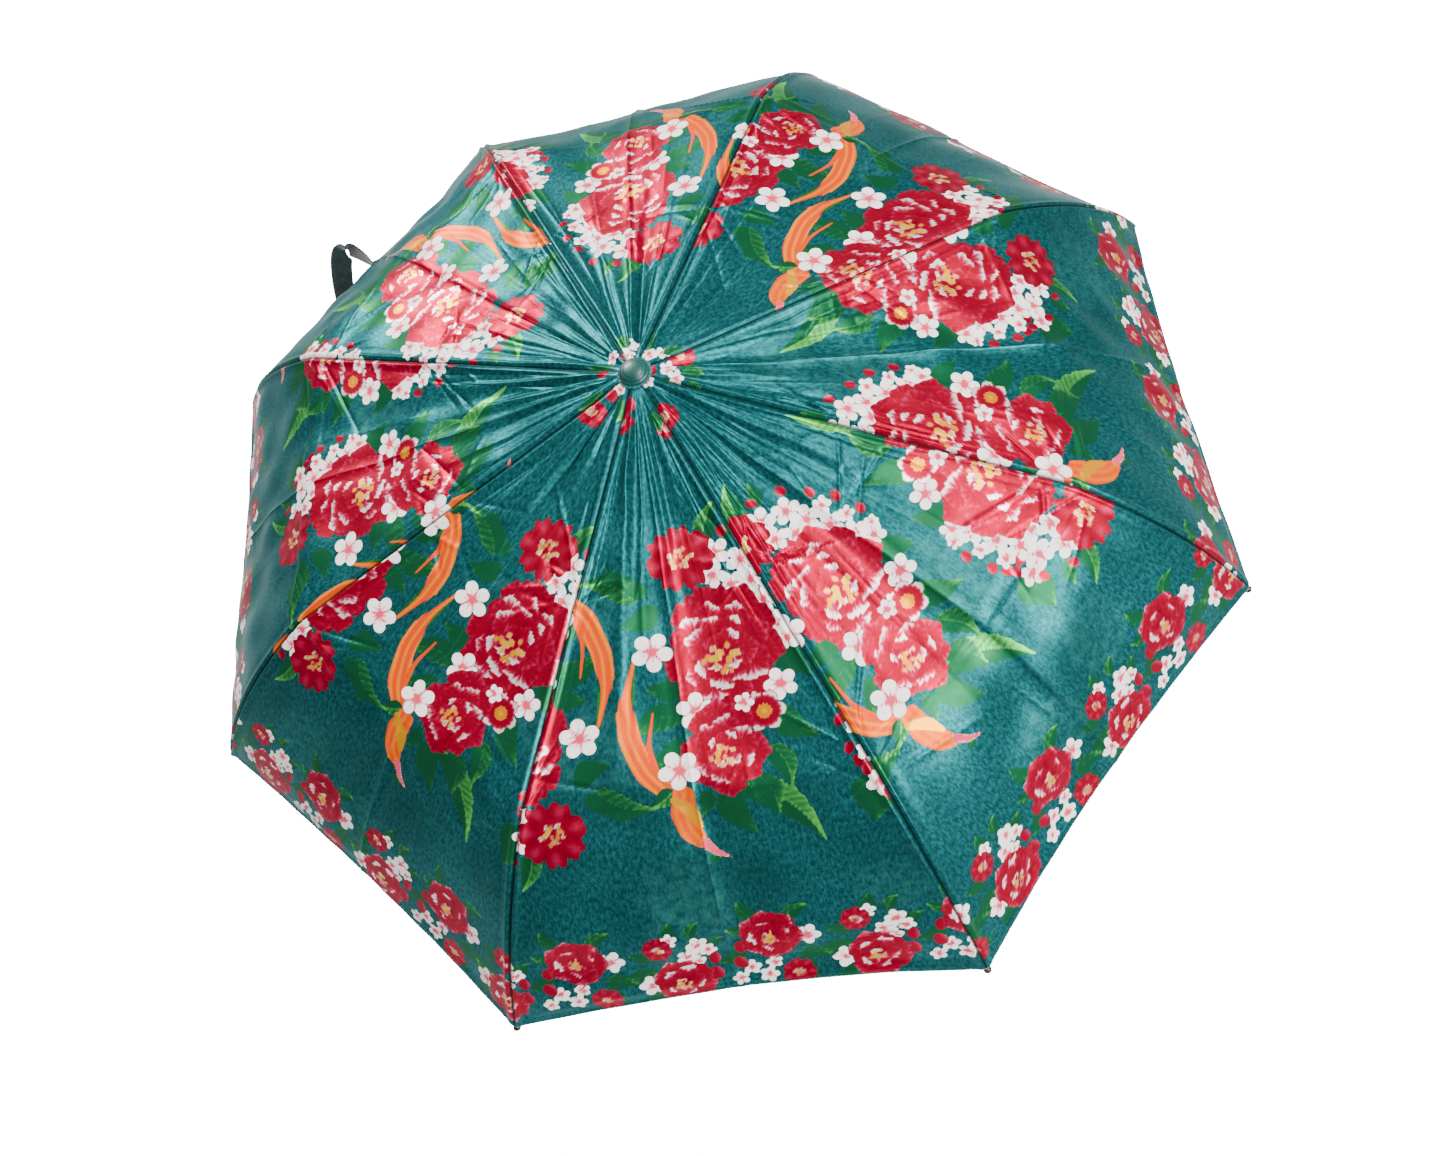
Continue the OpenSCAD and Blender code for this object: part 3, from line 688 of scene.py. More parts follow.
def motif(m):
    """The big motif round the big peony's centre: x to one side, y out towards the rim."""
    leaves(m, (50, -52, 78, -80, 9, 5, 0.45), (58, -48, 102, -70, 10, -7, 0.6),
           (44, -42, 74, -30, 9, 5, 0.35), (4, -86, -12, -122, 8, 3, 0.75),
           (-12, -88, -24, -108, 6, -2, 0.5), (30, 24, 62, 22, 9, 3, 0.4), (34, 44, 78, 60, 10, -5, 0.5),
           (38, 66, 68, 84, 8, 4, 0.5), (-36, 10, -62, 32, 9, 3, 0.35), (-30, 50, -62, 78, 10, -5, 0.45),
           (-24, 78, -36, 116, 9, 4, 0.6), (2, 106, -54, 164, 12, 9, 0.9), (12, 106, -6, 150, 11, -6, 0.35),
           (-10, 100, -24, 134, 9, 3, 0.5), (26, 108, 34, 130, 6, 2, 0.4))
    bird(m)
    for x, y, r in ((-4, -78, 13), (-1, -60, 11), (-24, -68, 12), (-29, -51, 12), (-44, -48, 8),
                    (-36, -33, 12), (-50, -28, 7), (-42, -13, 11), (-49, 0, 10), (-14, -50, 11),
                    (-56, -8, 6)):
        blossom(m, x, y, r, 37 * x + 11 * y)
    for x, y in ((-34, -82), (-46, -62), (-56, -44), (-60, -22), (-12, -94)):
        bud(m, x, y, 3.6, 40 + x)
    red_flower(m, 21, -78, 28, 12, seed=5)
    peony(m, 0, 0, 39, 51, seed=11)
    blossom(m, 52, -6, 16, 20)
    blossom(m, -39, 34, 13, 75)
    star_flower(m, -24, 53, 16)
    blossom(m, 26, 45, 15, 50)
    peony(m, 9, 78, 27, 35, seed=7, rings=SMALL_RINGS)
    blossom(m, 44, 89, 16, 8)
    blossom(m, -10, 44, 8, 30)


def side_sprig(m):
    """A sprig of berries and a pale fringed blossom over one big leaf."""
    leaf(m, 0, -4, -2, 34, 15, 4, 0.4)
    blossom(m, -10, 2, 11, 20)
    for x, y in ((-4, -24), (-10, -14), (2, -16), (-18, -8)):
        bud(m, x, y, 4.2, 30)


def border_a(m):
    """A border bunch round a small peony that the hem cuts."""
    leaves(m, (-12, -16, -34, -26, 6, 2, 0.6), (10, -18, 20, -38, 6, 2, 0.5), (-18, 22, -44, 30, 7, 2, 0.5),
           (22, 12, 44, 22, 7, 2, 0.4), (-14, 30, -30, 52, 7, 2, 0.4), (16, -8, 34, -14, 5, 2, 0.6))
    for x, y, r in ((8, 40, 8), (20, 30, 8), (30, 40, 7), (2, 28, 7), (-27, 3, 11)):
        blossom(m, x, y, r, 31 * x)
    bud(m, 25, 8, 4.5)
    bud(m, 27, 24, 5, 30)
    red_flower(m, -15, 42, 14, 20, seed=8)
    peony(m, 0, 0, 23, 22, seed=21, rings=BORDER_RINGS)


def border_b(m):
    """The border bunch between: the peony low on the hem, a red flower above."""
    leaves(m, (-12, -44, -22, -58, 5, 2, 0.6), (0, -44, 0, -62, 6, 2, 0.5), (16, -30, 38, -36, 6, 2, 0.4),
           (18, -16, 48, -10, 7, 2, 0.5), (-20, -26, -38, -40, 6, 2, 0.5), (18, 8, 34, 18, 6, 2, 0.3))
    for x, y, r in ((-17, -35, 9), (-7, -25, 8), (3, -45, 7), (-24, -28, 7), (-14, -18, 7), (25, 0, 11)):
        blossom(m, x, y, r, 17 * x)
    bud(m, -26, -3, 5, 20)
    bud(m, -27, -18, 4.5)
    red_flower(m, 13, -38, 12.5, 5, seed=9)
    peony(m, 0, 0, 23, 22, seed=23, rings=BORDER_RINGS)


def ghost_flower(m, x, y, r):
    """A big flower in the ground's own colour, a shade lighter."""
    p = m.near(x, y, 1.4 * r)
    rho, theta = p.polar()
    inside = 1 / (1 + np.exp(-(r * flower_outline(theta, 8, 0.25) - rho) / 1.2))
    p.cloth.tone[p.where] += inside * (0.5 + 0.35 * np.cos(9 * theta) + 0.3 * np.cos(0.5 * rho))


# %% [markdown]
# ## Where each panel cuts the print
# The panels were cut from one printed length with no regard to the pattern. So each panel has its own
# shift: where the big motif's centre falls, where the border starts, and which scraps of other bunches
# reach its narrow end at the hub.

# %% Panels
# Millimetres on the cloth: y counts out from the hub, x from the middle of a panel
MOTIF_PERIOD, MOTIF_Y = 302.0, 240.0
TURNED_X, TURNED_Y = 166.0, 287.0
SPRIG_X, SPRIG_Y = -88.0, 118.0
BORDER_PERIOD, BORDER_Y = 151.0, 482.0
BORDER_STEP, BORDER_DROP = 73.0, 33.0
GHOST_FLOWERS = 7
MOTIF_X = (41, -36, -44, 112, -24, -1, -88, 72)
BORDER_X = (48, -33, 52, -55, 20, -10, -40, 28)
HUB_SCRAPS = (
    (("flower", 15, 45, 13), ("leaf", -8, 20, -18, 42), ("blossom", 0, 14, 6)),
    (("bud", 7, 28, 5), ("flower", 15, 42, 11), ("flower", -20, 53, 10), ("leaf", -8, 38, -14, 56)),
    (("flower", 12, 47, 13), ("blossom", 2, 18, 6), ("bud", 5, 26, 4), ("leaf", -6, 24, -12, 44)),
    (("leaf", -8, 30, -18, 54), ("bud", 8, 28, 4)),
    (("bud", 9, 20, 4), ("leaf", -6, 22, -14, 44), ("blossom", 3, 30, 6)),
    (("blossom", -5, 20, 7), ("blossom", -3, 33, 8), ("leaf", -4, 30, -10, 50)),
    (("blossom", -3, 22, 7), ("blossom", 4, 31, 7), ("leaf", -6, 24, -14, 44), ("leaf", 6, 30, 14, 48)),
    (("flower", -12, 40, 13), ("blossom", 0, 28, 7), ("blossom", 9, 34, 7), ("leaf", 4, 40, 8, 58),
     ("leaf", 16, 40, 25, 56), ("flower", 0, 13, 6)),
)
SCRAPS = {"leaf": (leaf, (5, 1.5, 0.6)), "flower": (red_flower, (20, 4)), "blossom": (blossom, (15,)),
          "bud": (bud, ())}


def print_panel(panel, x, y):
    """The print of one panel at the flat places x, y."""
    cloth = Cloth(x, y)
    every = cloth.all
    draw = np.random.default_rng(500 + panel)
    for _ in range(GHOST_FLOWERS):
        ghost_flower(every, draw.uniform(-150, 150), draw.uniform(120, 520), draw.uniform(24, 40))
    starts = [MOTIF_X[panel] + turn * MOTIF_PERIOD for turn in (-1, 0, 1)]
    for start in starts:
        side_sprig(every.near(start + SPRIG_X, MOTIF_Y + SPRIG_Y, 70))
    for start in starts:
        motif(every.near(start + TURNED_X, TURNED_Y, 190, 180))
    for start in starts:
        motif(every.near(start, MOTIF_Y, 190))
    for turn in range(-2, 3):
        at = BORDER_X[panel] + turn * BORDER_PERIOD
        border_b(every.near(at + BORDER_STEP, BORDER_Y + BORDER_DROP, 75))
        border_a(every.near(at, BORDER_Y, 75))
    for kind, *sizes in HUB_SCRAPS[panel]:
        lay_scrap, rest = SCRAPS[kind]
        lay_scrap(every, *sizes, *rest)
    return cloth


# %% [markdown]
# ## Making the cloth
# The umbrella has to fold, and cloth can't be posed like a hinge. So the cloth is split where it folds:
# at the crown, at the two elbows and down the middle of each panel. The piece over each rib member
# rides on that member. Both sides of a split are worked out from the same function, so the open
# canopy is one continuous surface. Each piece is two thin shells, one for each panel that it borders,
# with the printed side out and a dark coated side in.

# %% Cloth shells
COLS = 97                # points across half a panel
CLOTH_T = 0.4            # thickness
SPLIT_CROWN = 21.0       # where the crown piece ends and the top piece starts
# painted shade along the seams: how far the tone is lowered on each seam
SEAM_PAINTED_SHADE = 2.0         # how dark the tone is on a seam
rows_s = np.concatenate([
    np.linspace(HUB_R, SPLIT_CROWN, 8)[:-1],
    np.linspace(SPLIT_CROWN, ELBOW_1_S, 88)[:-1],
    np.linspace(ELBOW_1_S, ELBOW_2_S, 82)[:-1],
    np.linspace(ELBOW_2_S, RIM_S - HEM - 3, 92)[:-1],
    np.linspace(RIM_S - HEM - 3, RIM_S, 9),
])
CUTS = (0, 7, 94, 175, len(rows_s) - 1)      # the rows where one piece ends and the next starts
# Each part: the rib that it lies on, its place in CUTS, and where it was cut along the rib line
PARTS = {"crown": ("top_rib", 0, 0, SPLIT_CROWN), "top": ("top_rib", 1, SPLIT_CROWN, ELBOW_1_S),
         "middle": ("middle_rib", 2, ELBOW_1_S, ELBOW_2_S), "rim": ("outer_rib", 3, ELBOW_2_S, RIM_S)}
even = np.linspace(0, 1, COLS)
across = even - 0.35 * np.sin(2 * np.pi * even) / (2 * np.pi)


def half_panel(panel, v):
    """Everything about half a panel on its whole grid: points, normals, flat places and print."""
    v_grid, s_grid = np.meshgrid(v, rows_s)
    points, flat_y = sheet_point(panel, v_grid, s_grid)
    along, over = np.gradient(points, axis=0), np.gradient(points, axis=1)
    normals = unit(np.cross(along, over))
    normals *= np.where(normals[..., 2:] < 0, -1, 1)
    flat_x = v_grid * panel_half(flat_y)
    cloth = print_panel(panel, flat_x.ravel(), flat_y.ravel())
    # painted shade: the tone is lowered along each seam, so the sunk seam valley shows dark
    cloth.tone -= SEAM_PAINTED_SHADE * ridge(panel_half(flat_y) * (1 - np.abs(v_grid)), 1.0).ravel()
    return {"points": points, "normals": normals, "flat": np.stack([flat_x, flat_y], -1),
            "inks": cloth.inks.T.reshape(*flat_x.shape, -1), "tint": cloth.tint.reshape(flat_x.shape),
            "tone": cloth.tone.reshape(flat_x.shape)}


def shell(half, low, high):
    """Rows low to high of half a panel as a closed shell: outside, inside and four thin walls."""
    cut = {key: value[low:high + 1] for key, value in half.items()}
    rows, cols = cut["tint"].shape
    top = cut["points"].reshape(-1, 3)
    out = cut["normals"].reshape(-1, 3)
    count = rows * cols
    faces = grid_quads(rows, cols)
    ring = np.concatenate([
        np.arange(cols), np.arange(1, rows) * cols + cols - 1,
        (rows - 1) * cols + np.arange(cols - 2, -1, -1), np.arange(rows - 2, 0, -1) * cols])
    after = np.roll(ring, -1)
    wall = np.stack([after, ring, ring + count, after + count], 1)
    made = {key: np.concatenate([cut[key].reshape(count, -1)] * 2)
            for key in ("flat", "inks", "tint", "tone")}
    made["points"] = np.concatenate([top, top - CLOTH_T * out])
    made["normals"] = np.concatenate([out, -out])
    made["faces"] = np.concatenate([faces, faces[:, ::-1] + count, wall])
    made["side"] = np.repeat([0, 1, 0], [len(faces), len(faces), len(wall)])
    return made


def cloth_piece(name, shells, body):
    """One mesh of several shells, with its print, flat places and shading normals stored on it."""
    starts = np.cumsum([0] + [len(s["points"]) for s in shells])
    faces = np.concatenate([s["faces"] + start for s, start in zip(shells, starts)])
    joined = {key: np.concatenate([s[key] for s in shells]) for key in shells[0] if key != "faces"}
    piece = mesh_piece(name, joined["points"] * MM, faces, body)
    mesh = piece.data
    mesh.polygons.foreach_set("material_index", joined["side"].astype(np.int32))
    for key, numbers in (("ink_a", joined["inks"][:, :3]), ("ink_b", joined["inks"][:, 3:])):
        stored = mesh.attributes.new(key, "FLOAT_VECTOR", "POINT")
        stored.data.foreach_set("vector", numbers.astype(np.float32).ravel())
    for key in ("tint", "tone"):
        stored = mesh.attributes.new(key, "FLOAT", "POINT")
        stored.data.foreach_set("value", joined[key].astype(np.float32).ravel())
    flat = mesh.uv_layers.new(name="flat")
    corners = np.empty(len(mesh.loops), np.int32)
    mesh.loops.foreach_get("vertex_index", corners)
    flat.data.foreach_set("uv", (joined["flat"][corners] * 0.01).astype(np.float32).ravel())
    mesh.normals_split_custom_set_from_vertices(joined["normals"].tolist())
    return piece


halves = {}
for panel in range(RIBS):
    halves[panel, "first"] = half_panel(panel, across - 1)
    halves[panel, "second"] = half_panel(panel, across)
print("cloth grid", halves[0, "first"]["tint"].shape, "for each half panel")

# %% Cloth pieces on their ribs
def gather(piece, k):
    """Give the piece a mesh of its own. The direction of rib k is worked out but not used."""
    azimuth = -k * PITCH
    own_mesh(piece)


def sheet_area(piece):
    """Flat area of a two-skinned cloth piece in square metres: half its surface."""
    areas = np.empty(len(piece.data.polygons), np.float32)
    piece.data.polygons.foreach_get("area", areas)
    return float(areas.sum()) / 2


def beside(k):
    """The half panels on the two sides of rib k."""
    return halves[(k - 1) % RIBS, "second"], halves[k, "first"]


canopy = {}
for k in range(RIBS):
    for part, (rib, cut, _, _) in PARTS.items():
        shells = [shell(half, CUTS[cut], CUTS[cut + 1]) for half in beside(k)]
        body = f"{rib}_{k + 1}"
        piece = cloth_piece(f"canopy_{part}_{k + 1}", shells, None if part == "crown" else body)
        if part == "crown":
            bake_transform(piece)
        else:
            gather(piece, k)
        canopy[part, k] = piece
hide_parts("canopy")
print(len(canopy), "cloth pieces,", sum(len(p.data.polygons) for p in canopy.values()), "faces")

# %% [markdown]
# ## Sizes of the sheets
# Each cloth piece's width at its rim end and its length along the rib line are worked out. A piece is
# a strip across the rib, narrow at the hub end and wide at the rim end, so an area is worked out as
# well, but it is not used.

# %% Sheets
def declare(piece, low, high):
    """The width and length of one cloth piece cut between two distances along the rib line."""
    width = 2 * float(panel_half(high)) * MM
    length = (high - low) * MM
    area = min(max(sheet_area(piece), 0.31 * width * length), width * length)
    return width, length


for (part, k), piece in canopy.items():
    rib, _, low, high = PARTS[part]
    size = declare(piece, low, high)
    if k == 0:
        print(part, "cut", [round(x, 3) for x in size], "m")

# %% [markdown]
# ## Hems
# The rim is turned under and sewn. The turned edge is a thin roll of cloth, so each piece of the rim
# gets a small tube along its edge.

# %% Hems
hems = []
for k in range(RIBS):
    edge = np.concatenate([h["points"][-1] - 0.35 * h["normals"][-1] for h in beside(k)])
    edge = np.delete(edge, COLS, axis=0)
    hem = tube(f"canopy_hem_{k + 1}", edge, 0.75, f"outer_rib_{k + 1}", sides=6)
    gather(hem, k)
    hems.append(hem)
print(len(hems), "hems")

# %% [markdown]
# ## Closure strap
# A doubled strip of the same cloth is sewn under the rim halfway between two tips. It stands out in a
# fold and hangs down again. It is a ribbon: a smooth line carried sideways, slightly cupped.

# %% Strap
STRAP_W, STRAP_T = 24.0, 1.0
STRAP_STEPS, STRAP_COLS = 90, 15
STRAP_TURN = 0.42        # the share of its length at which the strap turns over
rim_middle = halves[4, "first"]["points"][-1, -1]
strap_azimuth = -4.5 * PITCH
outward = np.array([np.cos(strap_azimuth), np.sin(strap_azimuth), 0])
sideways = np.array([-np.sin(strap_azimuth), np.cos(strap_azimuth), 0])
# Points of the strap's middle line: along the rim, outward and up from the middle of the rim
strap_offsets = np.array([
    [7, -5, -4], [8, 4, -3], [8, 14, 4], [6, 24, 12], [3, 30, 17], [-3, 33, 16],
    [-11, 34, 8], [-22, 32, -6], [-34, 28, -24], [-44, 23, -42], [-52, 18, -58]], float)


def smooth_path(points, count):
    """A round curve through points: a Catmull-Rom spline at even steps."""
    before, after = 2 * points[:1] - points[1:2], 2 * points[-1:] - points[-2:-1]
    padded_points = np.concatenate([before, points, after])
    t = np.linspace(0, len(points) - 1.0001, count)
    i = t.astype(int)
    u = (t - i)[:, None]
    a, b, c, d = (padded_points[i + n] for n in range(4))
    cubic = (3 * b - a - 3 * c + d) * u ** 3
    return 0.5 * (2 * b + (c - a) * u + (2 * a - 5 * b + 4 * c - d) * u ** 2 + cubic)


share = np.linspace(0, 1, STRAP_STEPS)[:, None]
strap_line = smooth_path(strap_offsets, STRAP_STEPS)
rim_axes = np.stack([-sideways, outward, [0, 0, 1.0]])
centre = rim_middle + strap_line @ rim_axes
along_strap = unit(np.gradient(centre, axis=0))
twist = 1 / (1 + np.exp(-(share - STRAP_TURN) * 22))
across_first, across_last = np.array([[0, 0.25, 1.0], [0.35, -0.9, -0.35]]) @ rim_axes
across_dir = (1 - twist) * across_first + twist * across_last
across_dir = unit(across_dir - (across_dir * along_strap).sum(1, keepdims=True) * along_strap)
strap_normal = np.cross(across_dir, along_strap)[:, None]
across_strap = np.linspace(-1, 1, STRAP_COLS)
cup = 1.2 * across_strap ** 2 * share + 0.35 * np.sin(23 * share) * (1 - across_strap ** 2)
reach = 0.5 * STRAP_W * (1 - 0.25 * ridge(share - STRAP_TURN, 0.08)) * across_strap
strap_top = centre[:, None] + reach[..., None] * across_dir[:, None]
strap_top += (cup + STRAP_T / 2)[..., None] * strap_normal
strap_under = strap_top - STRAP_T * strap_normal
strap_rows = np.concatenate([strap_top, strap_under[:, ::-1]], axis=1)
around = 2 * STRAP_COLS
j = np.arange(STRAP_COLS - 1)
end_faces = np.stack([j, j + 1, around - 2 - j, around - 1 - j], 1)
strap_faces = np.concatenate([grid_quads(STRAP_STEPS, around, wrap=True), end_faces[:, ::-1],
                              end_faces + (STRAP_STEPS - 1) * around])
strap = mesh_piece("closure_strap_cloth", strap_rows.reshape(-1, 3) * MM, strap_faces, "outer_rib_5")
gather(strap, 4)
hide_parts("closure_strap")
strap_length = float(np.linalg.norm(np.diff(strap_line, axis=0), axis=1).sum()) * MM
print("strap", round(strap_length, 3), "m long")

# %% [markdown]
# ## Cap and washer
# A moulded cap screws down on the crown and clamps the cloth under a washer. Both are round, so each is
# a profile turned about the shaft: a shallow dome with a fine groove inside its edge, and a flat disc
# of cloth with a wavy edge.

# %% Cap
cap_low, cap_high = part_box("cap")
CAP_R = cap_high.x / MM
cap_z, cap_top = cap_low.z / MM, cap_high.z / MM
EDGE_H = 2.9             # height of the cap's rounded edge
quarter = np.linspace(0, np.pi / 2, 22)
dome = np.stack([(CAP_R - 1.9) * np.cos(quarter), EDGE_H + (cap_top - cap_z - EDGE_H) * np.sin(quarter)], 1)
dome[:, 1] -= 0.35 * ridge(dome[:, 0] - 8.6, 0.35)
rim_turn = np.radians(np.linspace(-90, 62, 12))
cap_rim = np.stack([CAP_R - 1.5 + 1.5 * np.cos(rim_turn), 1.5 + 1.45 * np.sin(rim_turn)], 1)
cap_profile = np.concatenate([[[3.6, 0.05]], cap_rim, dome])
cap_profile[-1, 0] = 0.01
cap_piece = lathe("cap_dome", cap_profile + [0, cap_z], "upper_tube", 96)
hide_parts("cap")
washer_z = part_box("hub_washer")[0].z / MM
WASHER_PROFILE = np.array([
    [3.8, 0.0], [10, 0.0], [13.6, -0.05], [13.9, 0.15], [13.6, 0.4], [10, 0.42], [3.8, 0.42]])
washer = lathe("hub_washer_cloth", WASHER_PROFILE + [0, washer_z], "upper_tube", 144, ripple=0.035)
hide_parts("hub_washer")
print("cap", round(2 * CAP_R, 1), "mm across")

# %% [markdown]
# ## Printed satin
# The finish reads the stored depths. Where an ink's depth passes zero its colour begins, and a little
# noise on the depth makes the edge look printed. The tint mixes two or three colours within each ink.
# Satin shines in its own colour, so the ground and the red are partly metallic, while white and orange
# ink lie chalkier on it. The roughness is fairly low, broken by the threads and by a crushed mottling.

# %% Printed satin
def printed_satin():
    """The outside: each ink's colour laid over the ground where its depth is above zero."""
    made = Finish("printed_satin", Specular_IOR_Level=0.2, Specular_Tint=(0.4, 0.55, 0.55, 1))
    flat = made.place(coords="UV")
    jitter = (made.noise(60, 2, flat) - 0.5) * 0.8
    brush = made.noise(34, 4, flat) - 0.5
    slow = made.noise(1.6, 4, flat)
    cloudy = made.noise(7, 5, flat)
    tint = made.attribute("tint") + brush * 0.22
    tone = made.attribute("tone")
    crushed = made.noise(26, 5, made.place((1.6, 0.8, 1), "UV"), 0.7)
    ground = made.mix(crushed.ramp(0.35, 0.7), rgb(11, 68, 71), rgb(36, 116, 119))
    ground = made.mix(slow.ramp(0.35, 0.7) * 0.45, ground, rgb(9, 60, 60))
    colour = made.mix(tone * 0.12, ground, rgb(80, 172, 164))
    leaf_colour = made.mix(tint.ramp(0.25, 0.95), rgb(22, 88, 54), rgb(98, 204, 88))
    petal = made.mix(tint.ramp(0.0, 0.5), rgb(160, 0, 40), rgb(206, 36, 84))
    petal = made.mix(tint.ramp(0.34, 0.95), petal, rgb(255, 236, 236))
    petal = made.mix((tint * -1).ramp(0.0, 0.5), petal, rgb(132, 0, 30))
    white = made.mix(tint.ramp(0.1, 0.8), rgb(255, 248, 242), rgb(224, 60, 92))
    orange = made.mix(tint.ramp(0.15, 0.8), rgb(226, 68, 0), rgb(246, 140, 0))
    gold = made.mix(tint.ramp(0.2, 0.9), rgb(244, 140, 0), rgb(255, 200, 0))
    green = made.mix(tint.ramp(0.2, 0.9), rgb(8, 96, 40), rgb(88, 190, 50))
    for stored, part, ink in (("ink_a", 0, leaf_colour), ("ink_b", 2, green), ("ink_a", 1, petal),
                              ("ink_a", 2, white), ("ink_b", 0, orange), ("ink_b", 1, gold)):
        depth = made.attribute(stored, part) + jitter
        colour = made.mix(depth.ramp(-0.35, 0.35), colour, ink)
    # painted shade in the seam valleys: where the tone is below zero the colour darkens towards a
    # near-black teal
    colour = made.mix((tone * -1).ramp(0.15, 1.0) * 0.8, colour, rgb(4, 26, 26))
    made.drive("Base Color", colour)
    in_white = made.attribute("ink_a", 2).ramp(-0.35, 0.35)
    in_orange = made.attribute("ink_b", 0).ramp(-0.35, 0.35)
    made.drive("Metallic", 0.62 - (in_white + in_orange * 0.6) * 0.57)
    threads = made.noise(40, 3, made.place((6, 0.7, 1), "UV"))
    made.drive("Roughness", slow * 0.12 + crushed * 0.16 + threads * 0.08 + 0.22)
    made.bump(threads * 0.35 + crushed * 0.9 + cloudy * 2.0, 0.34, 0.0004)
    return made.material


def coated_cloth():
    """The inside: a dark coat over the weave, where the print shows through only as a faint shade."""
    made = Finish("coated_cloth", Specular_IOR_Level=0.3, Sheen_Weight=0.05)
    weave = made.noise(60, 3, made.place((4, 1, 1), "UV"))
    cloudy = made.noise(9, 4, made.place(coords="UV"))
    printed = made.attribute("ink_a", 1).ramp(-0.5, 0.5)
    colour = made.mix(cloudy.ramp(0.3, 0.7), rgb(20, 33, 36), rgb(28, 44, 47))
    made.drive("Base Color", made.mix(printed * 0.3, colour, rgb(70, 26, 36)))
    made.drive("Roughness", cloudy * 0.2 + 0.5)
    made.bump(weave, 0.2, 0.0002)
    return made.material


satin, coated = printed_satin(), coated_cloth()
for piece in canopy.values():
    piece.data.materials.append(satin)
    piece.data.materials.append(coated)

# %% [markdown]
# ## The other finishes
# Plain teal cloth for the hem and washer, dark cloth for the strap, smooth plastic for the cap,
# moulded nylon and a soft-touch grip, and two kinds of plated steel. Each varies a little over the
# surface, because an even colour looks like a drawing.

# %% Cloth, plastic and steel
def plain_cloth(name, dark, light, scale=900.0, rough=0.42):
    """Unprinted cloth with a fine weave."""
    made = Finish(name, Sheen_Weight=0.15, Specular_IOR_Level=0.45)
    cloudy = made.noise(120.0, 4)
    made.mottle(cloudy, dark, light)
    made.drive("Roughness", cloudy * 0.15 + rough)
    made.bump(made.noise(scale, 2), 0.4, 0.0002)
    return made.material


def moulded(name, dark, light, rough, grain=1800.0, depth=0.15, coat=0.0):
    """Moulded plastic or rubber with a fine grain."""
    made = Finish(name, Coat_Weight=coat, Coat_Roughness=0.12)
    cloudy, fine = made.noise(60.0, 4), made.noise(grain, 2)
    made.mottle(cloudy, dark, light)
    made.drive("Roughness", cloudy * 0.10 + fine * 0.06 + rough)
    made.bump(fine, depth, 0.0001)
    return made.material


def plated(name, dark, light, rough, brush):
    """Plated steel with faint drawing lines, stretched by brush."""
    made = Finish(name, Metallic=1.0)
    cloudy = made.noise(80.0, 4)
    lines = made.noise(1.0, 3, made.place(brush))
    made.mottle(cloudy, dark, light, 0.75)
    made.drive("Roughness", lines * 0.14 + cloudy * 0.06 + rough)
    made.bump(lines, 0.08, 0.0001)
    return made.material


def tip_steel():
    """Plated wire that ends in a dark bead: the colour changes at a distance from the shaft."""
    made = Finish("tip_steel")
    x, y, _ = made.parts(made.place())
    reach = made.node("ShaderNodeMath", {"operation": "SQRT"}, x * x + y * y)
    bead = reach.ramp((tip_x - 7.4) * MM, (tip_x - 7.0) * MM)
    cloudy = made.noise(90.0, 4)
    steel = made.mix(cloudy.ramp(0.3, 0.7), rgb(128, 130, 132), rgb(172, 174, 178))
    bronze = made.mix(cloudy.ramp(0.3, 0.7), rgb(58, 46, 36), rgb(92, 74, 56))
    made.drive("Base Color", made.mix(bead, steel, bronze))
    made.drive("Metallic", 1 - bead * 0.5)
    made.drive("Roughness", cloudy * 0.15 + 0.28)
    made.bump(made.noise(1500.0, 2), 0.1, 0.0001)
    return made.material


teal_cloth = plain_cloth("teal_cloth", rgb(8, 84, 86), rgb(18, 108, 108))
hem_cloth = plain_cloth("hem_cloth", rgb(14, 96, 96), rgb(36, 132, 128))
strap_cloth = plain_cloth("strap_cloth", rgb(14, 30, 32), rgb(24, 48, 50), 700.0, 0.4)
cap_plastic = moulded("cap_plastic", rgb(2, 62, 56), rgb(6, 76, 68), 0.32, coat=0.1)
nylon = moulded("nylon", rgb(26, 27, 29), rgb(38, 39, 42), 0.42)
soft_grip = moulded("soft_grip", rgb(30, 35, 38), rgb(42, 48, 51), 0.52, 1400.0, 0.3)
bright_steel = plated("bright_steel", rgb(196, 198, 202), rgb(222, 224, 228), 0.12, (900, 900, 12))
rib_steel = plated("rib_steel", rgb(140, 142, 145), rgb(182, 184, 188), 0.26, (300, 300, 300))
bead_steel = tip_steel()

# %% Finishes on the frame
def finish_for(node_name):
    """The finish of a part of the frame, by the part's name."""
    if node_name.startswith("outer_rib"):
        return bead_steel
    if node_name.startswith(("handle_grip", "handle_end")):
        return soft_grip
    if node_name.endswith("_tube") or node_name in ("handle_pin", "handle_collar"):
        return bright_steel
    if node_name in ("crown", "runner", "lower_bush", "middle_bush"):
        return nylon
    if node_name == "runner_button":
        return cap_plastic
    return rib_steel


for node_name, piece in frame["nodes"].items():
    piece.data.materials.clear()
    piece.data.materials.append(finish_for(node_name))
for hem in hems:
    hem.data.materials.append(hem_cloth)
strap.data.materials.append(strap_cloth)
cap_piece.data.materials.append(cap_plastic)
washer.data.materials.append(teal_cloth)
print(len(frame["nodes"]), "frame nodes finished")

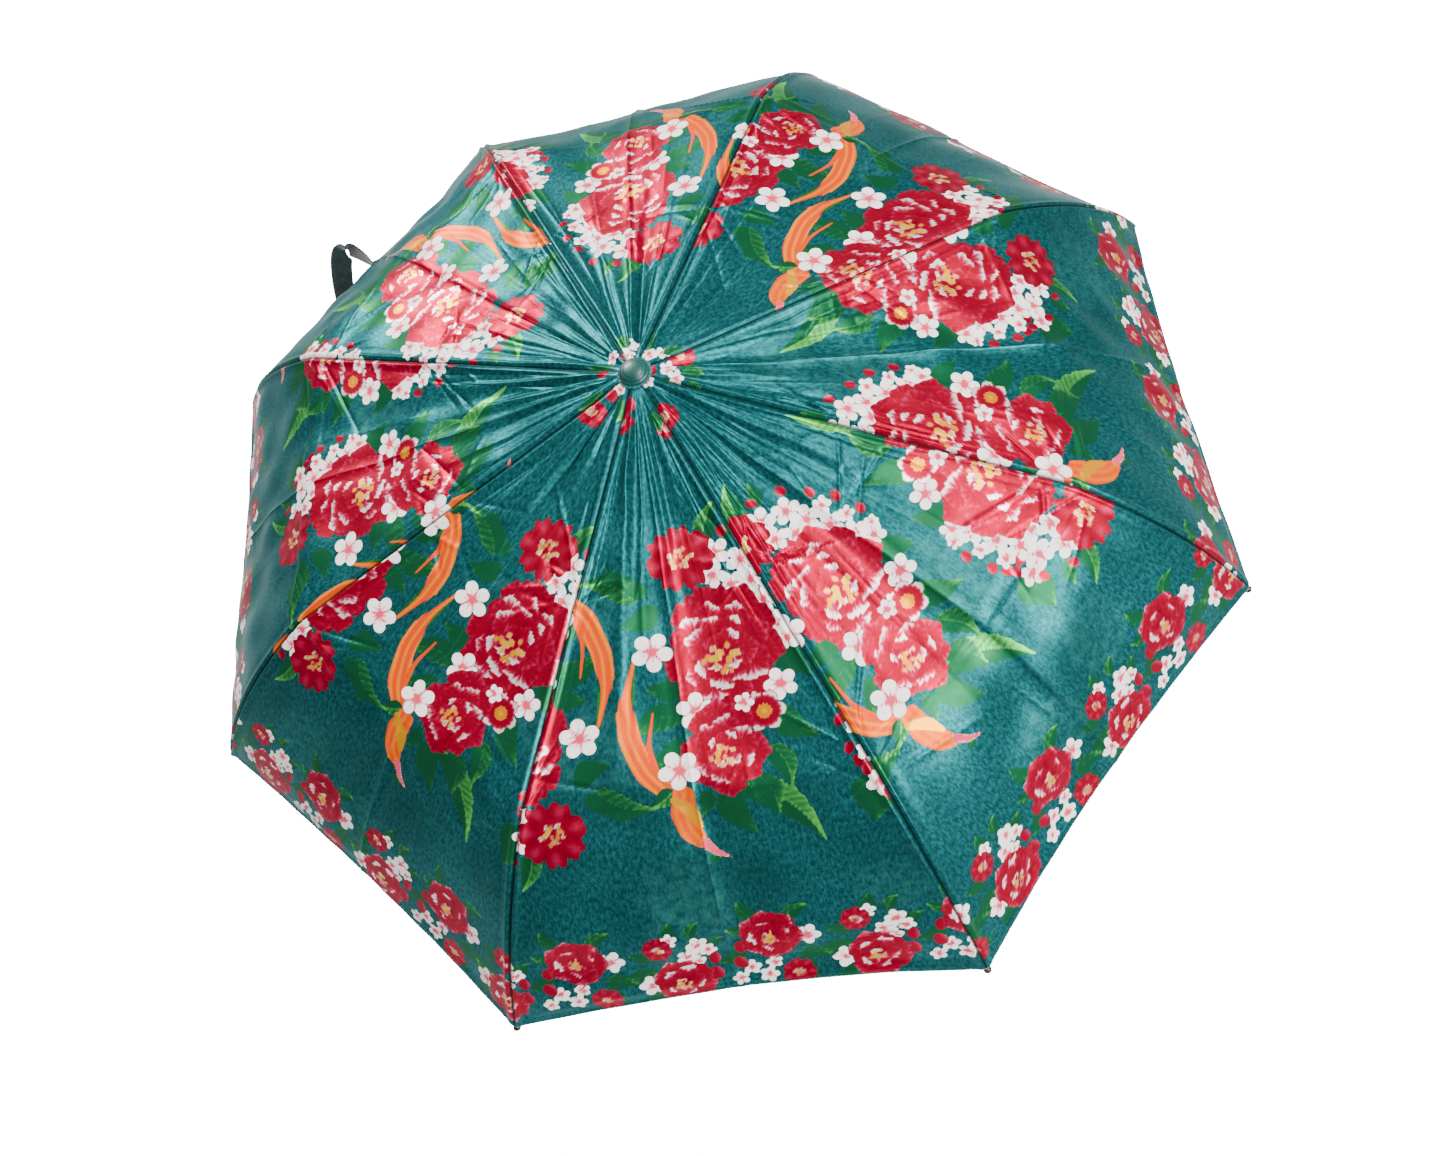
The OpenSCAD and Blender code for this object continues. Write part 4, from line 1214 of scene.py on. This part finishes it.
# %% [markdown]
# ## Floor and light
# The umbrella hangs over a floor well below it. To the lens the floor and the surround are pure white,
# but they give little light, so that they don't wash out the cloth. Three soft lamps do the work: two
# from the sides give the satin its long highlights, and one above the middle fills in.

# %% Floor and light
FLOOR_Z = -0.5
FLOOR_HALF = 30.0
WHITE = 22.0             # light enough to show as pure white
corners = [(x * FLOOR_HALF, y * FLOOR_HALF, FLOOR_Z) for x, y in ((-1, -1), (1, -1), (1, 1), (-1, 1))]
floor = mesh_piece("floor", corners, [[0, 1, 2, 3]])
floor_finish = Finish("floor_white", Base_Color=(0.93, 0.93, 0.93, 1), Roughness=0.9,
                      Specular_IOR_Level=0.1, Emission_Strength=WHITE)
seen = Value(floor_finish, floor_finish.nodes.new("ShaderNodeLightPath").outputs["Is Camera Ray"])
floor_finish.drive("Emission Color", floor_finish.mix(seen, (0.04, 0.04, 0.04, 1), (1, 1, 1, 1)))
floor.data.materials.append(floor_finish.material)

world = bpy.data.worlds.new("studio")
world.use_nodes = True
surround = world.node_tree
lens = surround.nodes.new("ShaderNodeLightPath")
shades = surround.nodes.new("ShaderNodeMix")
shades.data_type = "RGBA"
shades.inputs[6].default_value = (0.15, 0.15, 0.15, 1)
shades.inputs[7].default_value = (WHITE, WHITE, WHITE, 1)
surround.links.new(lens.outputs["Is Camera Ray"], shades.inputs[0])
surround.links.new(shades.outputs[2], surround.nodes["Background"].inputs["Color"])
bpy.context.scene.world = world


def lamp(name, place, size, power, aim=(0, 0, 0.45)):
    """A square soft lamp that points at aim."""
    data = bpy.data.lights.new(name, "AREA")
    data.size, data.energy = size, power
    made = bpy.data.objects.new(name, data)
    bpy.context.scene.collection.objects.link(made)
    back = unit(np.subtract(place, aim))
    right = unit(np.cross([0, 0, 1.0], back))
    columns = np.column_stack([right, np.cross(back, right), back, place])
    made.matrix_world = Matrix([*columns.tolist(), (0, 0, 0, 1)])


lamp("key", (-1.5, 1.3, 1.7), 0.7, 84)
lamp("side", (1.6, -0.5, 1.9), 0.7, 74)
lamp("top", (0.6, 0.5, 2.5), 0.4, 38)
print("lamps in place")
